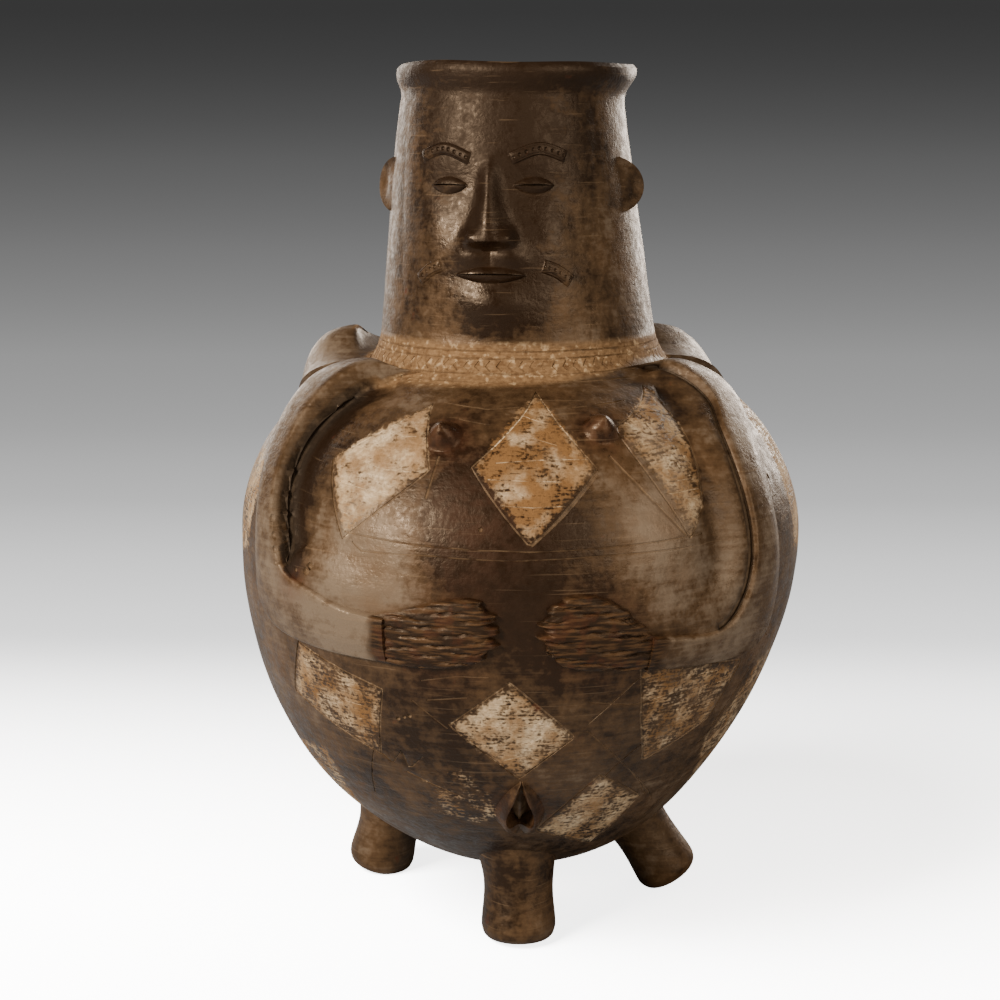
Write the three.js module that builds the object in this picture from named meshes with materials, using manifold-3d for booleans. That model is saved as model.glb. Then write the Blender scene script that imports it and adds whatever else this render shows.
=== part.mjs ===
// A ceremonial vessel of dark fired clay: a round belly on four stub feet, two pairs of arms laid
// on the shoulders, and a tall neck modelled as a head. It is one hollow piece.
// Millimetres, +Z up, origin on the floor under the axis, the figure facing -Y.
// Azimuths are degrees from the front, positive towards +X.

import * as THREE from 'three';
import { mergeVertices } from 'three/addons/utils/BufferGeometryUtils.js';
import Module from 'manifold-3d';

// Driving dimensions of the pot
const HEIGHT = 448;
const BELLY_BOTTOM_HEIGHT = 20;
const BELLY_WIDEST_HEIGHT = 206;
const BELLY_RADIUS = 150;
const COLLAR_FOOT_HEIGHT = 293.5;
const COLLAR_FOOT_RADIUS = 83.5;
const COLLAR_TOP_HEIGHT = 311.5;
const COLLAR_TOP_RADIUS = 72.8;
const NECK_TOP_RADIUS = 57.6;
const LIP_HEIGHT = 17;
const LIP_FLARE = 4.2;
const WALL = 7;
const LIP_THICKNESS = 4.6;

// Legs: a common length and sole, then each one's place, splay in degrees and radius
const LEG_LENGTH = 62;
const LEG_WAIST = 0.95;
const SOLE_WEAR = 2.2;
const LEGS = [
  { azimuth: 0, fromAxis: 69, splay: 8, radius: 19.5 },
  { azimuth: 89, fromAxis: 86, splay: 31, radius: 17.5 },
  { azimuth: 180, fromAxis: 76, splay: 10, radius: 18.5 },
  { azimuth: -104, fromAxis: 83, splay: 13, radius: 18.5 },
];

// Arms: height above the skin at the shoulder and along the arm
const ARM_PROUD = 6;
const LEFT_SHOULDER_PROUD = 15;
const RIGHT_SHOULDER_PROUD = 11;
const REAR_SHOULDER_PROUD = 23;
const REAR_TURN = 188;
const HAND_PROUD = 7.5;
const FINGER_GROOVE_DEPTH = 1.8;
const FRONT_FINGER_GROOVES = 5;
const REAR_FINGER_GROOVES = 3;

// Chest and belly ornaments
const NUB_RADIUS = 7.5;
const NUB_PROUD = 8;
const BOSS_WIDTH = 20;
const BOSS_LENGTH = 24;
const BOSS_PROUD = 5;
const BOSS_SLIT_WIDTH = 2.4;
const BOSS_SLIT_DEPTH = 6;

// Head: the face is laid out on thirds between the chin and the hairline, in eye widths across
const HEAD_TURN = -10;
const CHIN_ABOVE_COLLAR = 11;
const HAIRLINE_BELOW_RIM = 13;
const EYE_WIDTH = 21.5;
const FACE_PROUD = 1.6;
const FACE_EDGE = 0.3;
const NOSE_PROUD = 9;
const LIP_PAD_PROUD = 3.4;
const CHIN_PROUD = 3;
const CHEEK_PROUD = 1.8;
const EYE_PROUD = 2.6;
const LIPS_PROUD = 2.8;
const SLIT_WIDTH = 1.3;
const SLIT_DEPTH = 2.2;
const BAND_PROUD = 1.7;
const BAND_GROOVE = 1.1;
const EAR_HEIGHT = 27;
const EAR_DEPTH = 17;
const EAR_PROUD = 8;
const EAR_AZIMUTH = 76;

// Fineness of the faceting and how deep a laid-on form is rooted in the wall
const ROUND_STEPS = 40;
const CAVITY_STEPS = 22;
const LEG_STEPS = 12;
const ROOT = 3;

// Handmade lean of the pot: sideways shift in millimetres at shares of the height
const LEAN = [[0.06, 0], [0.19, -5], [0.47, 0], [0.58, 0], [0.95, -4.3], [1, -2]];

// Arm stations from the shoulder to the wrist: inner edge, then outer edge, each as an azimuth
// and a percentage of the way from the belly's bottom to the foot of the collar
const LEFT_ARM = [
  [-36, 101.5, -84, 101.5],
  [-45, 100.3, -82, 98],
  [-52.5, 98, -78, 94.6],
  [-55.5, 93.1, -73, 90.1],
  [-55.5, 87.2, -68, 85.2],
  [-53, 80.3, -63.5, 79.3],
  [-50, 74.4, -61.5, 73.4],
  [-48, 69.9, -61, 67],
  [-44.5, 67.7, -59, 60.6],
  [-39, 66.3, -53, 56.4],
  [-32, 64.5, -42, 55.2],
  [-24, 63.7, -24, 54.9],
];
const RIGHT_ARM = [
  [42, 102, 86, 101.5],
  [51, 101.5, 84, 98.5],
  [57.5, 99.5, 79, 95.6],
  [56, 95.6, 72, 92.6],
  [50.5, 91.6, 65, 89.2],
  [48, 86.2, 60, 84.2],
  [47.3, 80.3, 58.3, 79.3],
  [47, 74.4, 58, 73.4],
  [46.3, 69.5, 57.7, 67.5],
  [44.5, 64.5, 57, 61.1],
  [41, 60.6, 54.5, 54.7],
  [35, 59.3, 46, 52.7],
  [24, 60.4, 24, 53.9],
];
// Hand stations from the wrist to the finger tips: upper edge, then lower edge
const LEFT_HAND = [
  [-27, 63.8, -27, 55],
  [-20, 65.7, -20, 54.6],
  [-13, 67.3, -13, 55],
  [-7.5, 67.5, -7.5, 56.2],
  [-4, 64, -4, 59.6],
];
const RIGHT_HAND = [
  [26, 59.1, 26, 55.3],
  [22, 62.6, 22, 54.1],
  [16.5, 66.9, 16.5, 54.4],
  [10.5, 68.4, 10.5, 55.1],
  [6.5, 67, 6.5, 57],
  [4.2, 63.7, 4.2, 61],
];
const NUBS = [[-17, 92.8], [19, 93.7]];
const BOSS_PLACE = [2.5, 26.3];

const { degToRad, radToDeg, lerp, smoothstep, clamp } = THREE.MathUtils;

const wasm = await Module();
wasm.setup();

// Heights given as percentages of the belly, from its bottom to the foot of the collar
function bellyHeight(percent) {
  return lerp(BELLY_BOTTOM_HEIGHT, COLLAR_FOOT_HEIGHT, percent / 100);
}

// Outer profile as radius and height, from the pole under the belly to the top of the lip
function outerProfile() {
  const point = (r, z) => new THREE.Vector2(r, z);
  const lower = BELLY_WIDEST_HEIGHT - BELLY_BOTTOM_HEIGHT;
  const upper = COLLAR_FOOT_HEIGHT - BELLY_WIDEST_HEIGHT;
  const flare = BELLY_RADIUS - COLLAR_FOOT_RADIUS;
  const neckTop = HEIGHT - LIP_HEIGHT;
  const neck = neckTop - COLLAR_TOP_HEIGHT;
  const belly = new THREE.CubicBezierCurve(
    point(0, BELLY_BOTTOM_HEIGHT),
    point(0.62 * BELLY_RADIUS, BELLY_BOTTOM_HEIGHT),
    point(BELLY_RADIUS, BELLY_WIDEST_HEIGHT - 0.42 * lower),
    point(BELLY_RADIUS, BELLY_WIDEST_HEIGHT));
  const shoulder = new THREE.CubicBezierCurve(
    point(BELLY_RADIUS, BELLY_WIDEST_HEIGHT),
    point(BELLY_RADIUS, BELLY_WIDEST_HEIGHT + 0.51 * upper),
    point(COLLAR_FOOT_RADIUS + 0.51 * flare, COLLAR_FOOT_HEIGHT - 0.086 * upper),
    point(COLLAR_FOOT_RADIUS, COLLAR_FOOT_HEIGHT));
  const collar = new THREE.QuadraticBezierCurve(
    point(COLLAR_FOOT_RADIUS, COLLAR_FOOT_HEIGHT),
    point(lerp(COLLAR_TOP_RADIUS, COLLAR_FOOT_RADIUS, 0.25), lerp(COLLAR_FOOT_HEIGHT, COLLAR_TOP_HEIGHT, 0.35)),
    point(COLLAR_TOP_RADIUS, COLLAR_TOP_HEIGHT));
  const throat = new THREE.CubicBezierCurve(
    point(COLLAR_TOP_RADIUS, COLLAR_TOP_HEIGHT),
    point(lerp(NECK_TOP_RADIUS, COLLAR_TOP_RADIUS, 0.68), COLLAR_TOP_HEIGHT + 0.28 * neck),
    point(lerp(NECK_TOP_RADIUS, COLLAR_TOP_RADIUS, 0.36), neckTop - 0.38 * neck),
    point(NECK_TOP_RADIUS, neckTop));
  const lipRadius = NECK_TOP_RADIUS + LIP_FLARE;
  const lip = [
    point(NECK_TOP_RADIUS + 0.25 * LIP_FLARE, HEIGHT - 0.62 * LIP_HEIGHT),
    point(lipRadius, HEIGHT - 0.4 * LIP_HEIGHT),
    point(lipRadius, HEIGHT - 0.16 * LIP_HEIGHT),
    point(lipRadius - 0.25 * LIP_THICKNESS, HEIGHT),
  ];
  return [
    ...belly.getPoints(9),
    ...shoulder.getPoints(7).slice(1),
    ...collar.getPoints(2).slice(1),
    ...throat.getPoints(5).slice(1),
    ...lip,
  ];
}

const skinLine = outerProfile();

// Radius of the skin at a height, with the outward direction there
function skinAt(z) {
  const last = skinLine.length - 2;
  let i = skinLine.findIndex((p) => p.y > z) - 1;
  i = i < 0 ? (z < skinLine[0].y ? 0 : last) : i;
  const a = skinLine[i];
  const b = skinLine[i + 1];
  const along = new THREE.Vector2().subVectors(b, a);
  const share = clamp((z - a.y) / along.y, 0, 1);
  along.normalize();
  return { radius: lerp(a.x, b.x, share), out: along.y, up: -along.x };
}

// A point laid on the skin at an azimuth and height, standing proud by so many millimetres
function onSkin(azimuth, z, proud) {
  const skin = skinAt(z);
  const r = skin.radius + proud * skin.out;
  const turn = degToRad(azimuth);
  return new THREE.Vector3(r * Math.sin(turn), -r * Math.cos(turn), z + proud * skin.up);
}

// A closed geometry as a solid. A mirrored form comes out inside out, so it is turned.
function solid(geometry) {
  const bare = geometry.clone();
  bare.deleteAttribute('normal');
  bare.deleteAttribute('uv');
  const merged = mergeVertices(bare, 1e-3);
  const place = merged.getAttribute('position');
  const corner = [0, 1, 2].map(() => new THREE.Vector3());
  const triangles = [];
  let volume = 0;
  for (let i = 0; i < merged.index.count; i += 3) {
    const ids = [0, 1, 2].map((k) => merged.index.getX(i + k));
    if (new Set(ids).size < 3) continue;
    ids.forEach((id, k) => corner[k].fromBufferAttribute(place, id));
    volume += corner[0].dot(corner[1].clone().cross(corner[2]));
    triangles.push(ids);
  }
  if (volume < 0) triangles.forEach((ids) => ids.reverse());
  return new wasm.Manifold(new wasm.Mesh({
    numProp: 3,
    vertProperties: new Float32Array(place.array),
    triVerts: new Uint32Array(triangles.flat()),
  }));
}

// A form laid on the skin between two edges. place(u, v) gives the azimuth and height, proud(u, v)
// the height above the skin; u runs along the form and v from its inner to its outer edge.
function laid(place, proud, along, across, root = ROOT) {
  const box = new THREE.BoxGeometry(1, 1, 1, along, across, 1);
  const at = box.getAttribute('position');
  for (let i = 0; i < at.count; i += 1) {
    const u = at.getX(i) + 0.5;
    const v = at.getY(i) + 0.5;
    const [azimuth, z] = place(u, v);
    const p = onSkin(azimuth, z, at.getZ(i) > 0 ? proud(u, v) : -root);
    at.setXYZ(i, p.x, p.y, p.z);
  }
  return solid(box);
}

// place(u, v) for stations that give both edges of a form on the belly
function betweenEdges(stations, turn) {
  const edge = (k) => new THREE.SplineCurve(stations.map((s) => new THREE.Vector2(s[k], s[k + 1])));
  const inner = edge(0);
  const outer = edge(2);
  return (u, v) => {
    const p = inner.getPoint(u).lerp(outer.getPoint(u), v);
    return [p.x + turn, bellyHeight(p.y)];
  };
}

// An arm: a domed shoulder, then a crisp inner edge and a back that falls away to the outer edge
function arm(stations, turn, shoulder) {
  const high = (u) => {
    const dome = Math.exp(-(((u - 0.16) / 0.13) ** 2));
    return (ARM_PROUD + (shoulder - ARM_PROUD) * dome) * smoothstep(u, -0.03, 0.09);
  };
  const back = (u, v) => {
    const crisp = smoothstep(u, 0.2, 0.42);
    const outer = lerp(0.35, 0.45, crisp) + 0.25 * smoothstep(u, 0.6, 0.8);
    const inner = lerp(0.3, 0.75, crisp);
    const rise = lerp(inner, 1, Math.sin(0.5 * Math.PI * Math.min(v / 0.4, 1)));
    return v < 0.4 ? rise : lerp(1, outer, smoothstep(v, 0.35, 1));
  };
  return laid(betweenEdges(stations, turn), (u, v) => high(u) * back(u, v) - 0.4, 18, 5);
}

// A hand: a rounded pad with grooves between the fingers
function hand(stations, turn, grooves) {
  const rows = 2 * grooves + 2;
  const pad = (u, v) => {
    const edge = 1 - 0.45 * Math.abs(2 * v - 1) ** 4;
    const tip = 1 - 0.5 * smoothstep(u, 0.75, 1);
    const groove = Math.round(v * rows) % 2 === 1 && u > 0.2 ? FINGER_GROOVE_DEPTH : 0;
    return HAND_PROUD * edge * tip * lerp(0.8, 1, smoothstep(u, 0, 0.3)) - groove;
  };
  return laid(betweenEdges(stations, turn), pad, 4, rows);
}

function nub([azimuth, percent]) {
  const ball = new THREE.SphereGeometry(NUB_RADIUS, 10, 7);
  const p = onSkin(azimuth, bellyHeight(percent), NUB_PROUD - NUB_RADIUS);
  return solid(ball.translate(p.x, p.y, p.z));
}

// A raised lozenge with an upright slit
function boss() {
  const [azimuth, percent] = BOSS_PLACE;
  const centre = bellyHeight(percent);
  const degrees = (mm) => radToDeg(mm / skinAt(centre).radius);
  const lens = (width, length) => (u, v) => {
    const half = 0.5 * width * Math.max(Math.sin(Math.PI * u) ** 0.8, 0.06);
    return [azimuth + degrees(lerp(-half, half, v)), centre + lerp(-0.5, 0.5, u) * length];
  };
  const dome = (u, v) => BOSS_PROUD * Math.sin(Math.PI * u) ** 0.6 * (1 - 0.4 * Math.abs(2 * v - 1) ** 2);
  const body = laid(lens(BOSS_WIDTH, BOSS_LENGTH), dome, 8, 4);
  const cut = laid(lens(BOSS_SLIT_WIDTH, 0.75 * BOSS_LENGTH), () => 2 * BOSS_PROUD, 6, 1,
    BOSS_SLIT_DEPTH - BOSS_PROUD);
  return { body, cut };
}

// Face coordinates: millimetres across from the nose line, and a share from the chin to the hairline
const chinHeight = COLLAR_TOP_HEIGHT + CHIN_ABOVE_COLLAR;
const faceHeight = HEIGHT - HAIRLINE_BELOW_RIM - chinHeight;
function faceAt(across, share) {
  const z = chinHeight + share * faceHeight;
  return [HEAD_TURN + radToDeg(across / skinAt(z).radius), z];
}

// The modelled front of the head, as height above the neck's skin
function faceRelief(across, share) {
  const x = across / EYE_WIDTH;
  const side = Math.abs(x);
  const bump = (dx, dy, wide, tall) => Math.exp(-((dx / wide) ** 2) - (dy / tall) ** 2);
  const base = FACE_PROUD * (1 - (x / 2.7) ** 4) * (1 - ((share - 0.5) / 0.56) ** 6);
  const bridge = smoothstep(share, 0.3, 0.345) * (1 - smoothstep(share, 0.6, 0.74));
  const noseHalf = lerp(0.42, 0.2, smoothstep(share, 0.33, 0.6));
  const nose = NOSE_PROUD * lerp(1, 0.45, smoothstep(share, 0.35, 0.68)) * bridge * bump(x, 0, noseHalf, 1);
  const wings = 0.35 * NOSE_PROUD * bump(side - 0.42, share - 0.36, 0.16, 0.035);
  const pad = LIP_PAD_PROUD * bump(side - 0.42, share - 0.285, 0.42, 0.06);
  const chin = CHIN_PROUD * bump(x, share - 0.08, 0.7, 0.09);
  const cheek = CHEEK_PROUD * bump(side - 1.35, share - 0.37, 0.55, 0.13);
  const socket = 1.3 * bump(side - 1, share - 0.58, 0.6, 0.06);
  return Math.max(base + nose + wings + pad + chin + cheek - socket, FACE_EDGE);
}

function face() {
  const reach = 2.75 * EYE_WIDTH;
  const across = (v) => reach * Math.sign(v - 0.5) * Math.abs(2 * v - 1) ** 1.35;
  const up = (u) => lerp(-0.08, 1.06, u);
  return laid((u, v) => faceAt(across(v), up(u)), (u, v) => faceRelief(across(v), up(u)), 18, 16);
}

// A lens with a level slit: a closed eye or a closed mouth
function lensWithSlit(across, share, width, tall, proud) {
  const half = (u) => 0.5 * tall * Math.max(Math.sin(Math.PI * u) ** 0.7, 0.08) / faceHeight;
  const along = (u) => across + lerp(-0.5, 0.5, u) * width;
  const place = (u, v) => faceAt(along(u), share + lerp(-1, 1, v) * half(u));
  const rise = (u, v) => faceRelief(along(u), share) + proud * Math.sin(Math.PI * u) ** 0.5
    * (1 - 0.7 * (2 * v - 1) ** 2);
  const body = laid(place, rise, 6, 4);
  const slit = (u, v) => faceAt(along(u), share + lerp(-0.5, 0.5, v) * SLIT_WIDTH / faceHeight);
  const floor = faceRelief(across, share) + proud - SLIT_DEPTH;
  const cut = laid(slit, () => floor + 4 * SLIT_DEPTH, 6, 1, -floor);
  return { body, cut };
}

// A raised band of two lines with a groove between, along a path across the face
function doubleBand(path, wide) {
  const curve = new THREE.SplineCurve(path.map(([x, y]) => new THREE.Vector2(x, y)));
  const at = (u, v) => {
    const p = curve.getPoint(u);
    const t = curve.getTangent(u);
    const slope = new THREE.Vector2(t.x, t.y * faceHeight).normalize();
    const off = lerp(-0.5, 0.5, v) * wide;
    return [p.x - slope.y * off, p.y + slope.x * off / faceHeight];
  };
  const lines = (u, v) => {
    const groove = Math.abs(v - 0.5) < 0.1 ? BAND_GROOVE : 0;
    return faceRelief(...at(u, v)) + BAND_PROUD - groove;
  };
  return laid((u, v) => faceAt(...at(u, v)), lines, 6, 4);
}

// A half-moon ear, rising from the cheek to a free rear edge
function ear(side) {
  const centre = chinHeight + 0.58 * faceHeight;
  const depth = radToDeg(EAR_DEPTH / skinAt(centre).radius);
  const moon = (u) => Math.max(Math.sin(Math.PI * u) ** 0.6, 0.1);
  const place = (u, v) => {
    const azimuth = HEAD_TURN + side * (EAR_AZIMUTH - 0.5 * depth + v * depth * moon(u));
    return [azimuth, centre + lerp(-0.5, 0.5, u) * EAR_HEIGHT];
  };
  return laid(place, (u, v) => EAR_PROUD * moon(u) * v ** 1.4 - 0.3 + 0.6 * v, 8, 4);
}

// A stub leg standing on a worn flat sole
function leg({ azimuth, fromAxis, splay, radius }) {
  const outline = [
    [0, 0], [0.7, 0.02], [0.9, 0.1], [0.98, 0.26], [1, 0.5],
  ].map(([x, y]) => new THREE.Vector2(x * radius, y * radius));
  outline.push(new THREE.Vector2(LEG_WAIST * radius, 0.5 * LEG_LENGTH));
  outline.push(new THREE.Vector2(1.25 * radius, LEG_LENGTH), new THREE.Vector2(0, LEG_LENGTH));
  const stub = new THREE.LatheGeometry(outline, LEG_STEPS);
  stub.rotateX(Math.PI / 2).rotateX(degToRad(-splay));
  stub.computeBoundingBox();
  stub.translate(0, -fromAxis, -stub.boundingBox.min.z - SOLE_WEAR);
  return solid(stub.rotateZ(degToRad(azimuth)));
}

// The hollow inside, open through the neck, a wall's thickness within the skin
function cavity() {
  const line = [];
  const mouth = skinLine.length - 4;
  for (let i = 0; i < mouth; i += 2) {
    const p = skinLine[i];
    const skin = i === 0 ? { out: 0, up: -1 } : skinAt(p.y - 0.01);
    line.push(new THREE.Vector2(Math.max(p.x - WALL * skin.out, 0), p.y - WALL * skin.up));
  }
  const mouthRadius = NECK_TOP_RADIUS + LIP_FLARE - LIP_THICKNESS;
  line.push(new THREE.Vector2(NECK_TOP_RADIUS - WALL, HEIGHT - 0.8 * LIP_HEIGHT));
  line.push(new THREE.Vector2(mouthRadius - 1, HEIGHT - 0.2 * LIP_HEIGHT));
  line.push(new THREE.Vector2(mouthRadius, HEIGHT));
  line.push(new THREE.Vector2(mouthRadius, HEIGHT + WALL), new THREE.Vector2(0, HEIGHT + WALL));
  return solid(new THREE.LatheGeometry(line, CAVITY_STEPS).rotateX(Math.PI / 2));
}

// Everything under the floor, to flatten the soles
function underfloor() {
  const size = 4 * BELLY_RADIUS;
  return solid(new THREE.BoxGeometry(size, size, size).translate(0, 0, -0.5 * size));
}

// Sideways shift of the pot at a height
function lean(z) {
  const share = z / HEIGHT;
  const next = LEAN.findIndex(([level]) => level > share);
  if (next === 0) return LEAN[0][1];
  if (next < 0) return LEAN[LEAN.length - 1][1];
  const [from, start] = LEAN[next - 1];
  const [to, end] = LEAN[next];
  return lerp(start, end, smoothstep(share, from, to));
}

function vessel() {
  const profile = [...skinLine, new THREE.Vector2(0, HEIGHT)];
  let pot = solid(new THREE.LatheGeometry(profile, ROUND_STEPS).rotateX(Math.PI / 2));
  const add = (form) => { pot = pot.add(form); };
  const cut = (form) => { pot = pot.subtract(form); };
  LEGS.forEach((one) => add(leg(one)));
  add(arm(LEFT_ARM, 0, LEFT_SHOULDER_PROUD));
  add(arm(RIGHT_ARM, 0, RIGHT_SHOULDER_PROUD));
  add(arm(LEFT_ARM, REAR_TURN, REAR_SHOULDER_PROUD));
  add(arm(RIGHT_ARM, REAR_TURN, REAR_SHOULDER_PROUD));
  add(hand(LEFT_HAND, 0, FRONT_FINGER_GROOVES));
  add(hand(RIGHT_HAND, 0, FRONT_FINGER_GROOVES));
  add(hand(LEFT_HAND, REAR_TURN, REAR_FINGER_GROOVES));
  add(hand(RIGHT_HAND, REAR_TURN, REAR_FINGER_GROOVES));
  NUBS.forEach((one) => add(nub(one)));
  add(face());
  [-1, 1].forEach((side) => {
    add(ear(side));
    add(doubleBand([[0.45, 0.69], [1.1, 0.735], [1.75, 0.7]].map(([x, y]) => [side * x * EYE_WIDTH, y]), 6.5));
    add(doubleBand([[1.15, 0.24], [1.5, 0.215], [1.85, 0.17]].map(([x, y]) => [side * x * EYE_WIDTH, y]), 7));
  });
  const slits = [
    lensWithSlit(-EYE_WIDTH, 0.58, 0.95 * EYE_WIDTH, 8.5, EYE_PROUD),
    lensWithSlit(EYE_WIDTH, 0.58, 0.95 * EYE_WIDTH, 8.5, EYE_PROUD),
    lensWithSlit(0, 0.2, 1.6 * EYE_WIDTH, 8, LIPS_PROUD),
    boss(),
  ];
  slits.forEach((form) => add(form.body));
  slits.forEach((form) => cut(form.cut));
  cut(cavity());
  cut(underfloor());
  return pot;
}

// The joined solid as a mesh, leaning as the pot does
function toGeometry(pot) {
  const mesh = pot.getMesh();
  const at = new Float32Array(mesh.vertProperties);
  for (let i = 0; i < at.length; i += 3) at[i] += lean(at[i + 2]);
  const geometry = new THREE.BufferGeometry();
  geometry.setAttribute('position', new THREE.BufferAttribute(at, 3));
  geometry.setIndex(new THREE.BufferAttribute(new Uint32Array(mesh.triVerts), 1));
  geometry.computeVertexNormals();
  return geometry;
}

const clay = new THREE.MeshStandardMaterial({ color: 0x3a2a20, roughness: 0.5, metalness: 0 });
const pot = new THREE.Mesh(toGeometry(vessel()), clay);
pot.name = 'vessel';

const group = new THREE.Group();
group.add(pot);

export default group;
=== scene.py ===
"""Looks of a ceremonial vessel of dark fired clay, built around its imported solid.

The pot is one hollow piece of clay: a round belly on four stub feet, two pairs of arms laid on the
shoulders and a tall neck modelled as a head. The surface is rebuilt here at the solid's own sizes,
with the finer relief: finger lines, pricks, incised lozenges, cracks and scribed lines. Sizes are in
millimetres and become metres when a mesh is made. Azimuths are degrees from the front, positive
towards +X, and heights are millimetres above the floor.
"""

from __future__ import annotations

import logging
import math
from contextlib import contextmanager
from dataclasses import dataclass
from enum import Enum
from typing import Callable, Iterator, Sequence

import bmesh
import bpy
import numpy as np
from mathutils import Matrix, Vector, noise
from mathutils.bvhtree import BVHTree
from mathutils.kdtree import KDTree

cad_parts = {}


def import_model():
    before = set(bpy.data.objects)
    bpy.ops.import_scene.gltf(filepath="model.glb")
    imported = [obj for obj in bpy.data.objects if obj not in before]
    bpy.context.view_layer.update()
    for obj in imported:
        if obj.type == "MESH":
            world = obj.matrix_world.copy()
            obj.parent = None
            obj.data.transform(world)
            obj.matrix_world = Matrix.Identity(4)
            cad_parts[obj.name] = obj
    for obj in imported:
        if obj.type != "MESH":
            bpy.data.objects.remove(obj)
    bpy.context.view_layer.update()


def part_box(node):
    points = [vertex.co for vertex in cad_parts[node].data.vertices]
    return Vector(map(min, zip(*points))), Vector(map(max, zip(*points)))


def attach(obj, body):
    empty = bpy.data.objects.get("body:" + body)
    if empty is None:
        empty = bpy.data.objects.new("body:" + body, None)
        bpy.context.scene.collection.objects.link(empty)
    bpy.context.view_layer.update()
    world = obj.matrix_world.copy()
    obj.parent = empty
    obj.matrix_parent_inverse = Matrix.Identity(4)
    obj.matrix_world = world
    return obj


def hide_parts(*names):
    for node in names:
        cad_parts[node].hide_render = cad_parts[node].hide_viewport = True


# Metres in a millimetre, how near two corners are one in metres, and how many points are measured at once.
MM = 0.001
WELD = 2e-6
CHUNK = 4000
SEED = 11
LOG = logging.getLogger("vessel")

Array = np.ndarray
Spot = tuple[float, float, float]
Colour = tuple[float, float, float]
Socket = bpy.types.NodeSocket
Piece = bpy.types.Object
Group = bpy.types.NodeTree
Material = bpy.types.Material
Place = Callable[[Array, Array], tuple[Array, Array]]
Rise = Callable[[Array, Array], Array]


class Meeting(Enum):
    """How one closed form meets another."""

    JOIN = "UNION"
    CUT = "DIFFERENCE"


def lerp(a: float | Array, b: float | Array, share: float | Array) -> float | Array:
    """Go from a to b by a share."""
    return a + (b - a) * share


def smoothstep(x: Array | float, low: float, high: float) -> Array:
    """Ease from 0 below low to 1 above high."""
    share = np.clip((np.asarray(x, float) - low) / (high - low), 0, 1)
    return share * share * (3 - 2 * share)


def bump(dx: Array, dy: Array | float, wide: float, tall: float) -> Array:
    """A smooth mound of height 1 centred on nought."""
    return np.exp(-((dx / wide) ** 2) - (np.asarray(dy) / tall) ** 2)


def bezier(points: Sequence[tuple[float, float]], steps: int) -> Array:
    """Points along a Bezier curve.

    Args:
        points: The control points.
        steps: How many steps it is drawn in.

    Returns:
        An array of steps + 1 points.
    """
    t = np.linspace(0, 1, steps + 1)[:, None]
    last = len(points) - 1
    terms = [math.comb(last, k) * (1 - t) ** (last - k) * t**k * np.array(p) for k, p in enumerate(points)]
    return sum(terms)


def spline(points: Sequence[Sequence[float]], share: Array) -> Array:
    """Points along a smooth curve through given points.

    Args:
        points: The points that it runs through.
        share: Places along it, from 0 to 1, with the given points evenly spaced.

    Returns:
        The points, with the coordinates on the last axis.
    """
    through = np.array(points, float)
    last = len(through) - 1
    at = np.clip(np.asarray(share, float), 0, 1) * last
    start = np.minimum(at.astype(int), last)
    w = (at - start)[..., None]
    p0, p1, p2, p3 = (through[np.clip(start + k, 0, last)] for k in (-1, 0, 1, 2))
    v0, v1 = (p2 - p0) / 2, (p3 - p1) / 2
    return (2 * p1 - 2 * p2 + v0 + v1) * w**3 + (-3 * p1 + 3 * p2 - 2 * v0 - v1) * w**2 + v0 * w + p1


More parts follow.
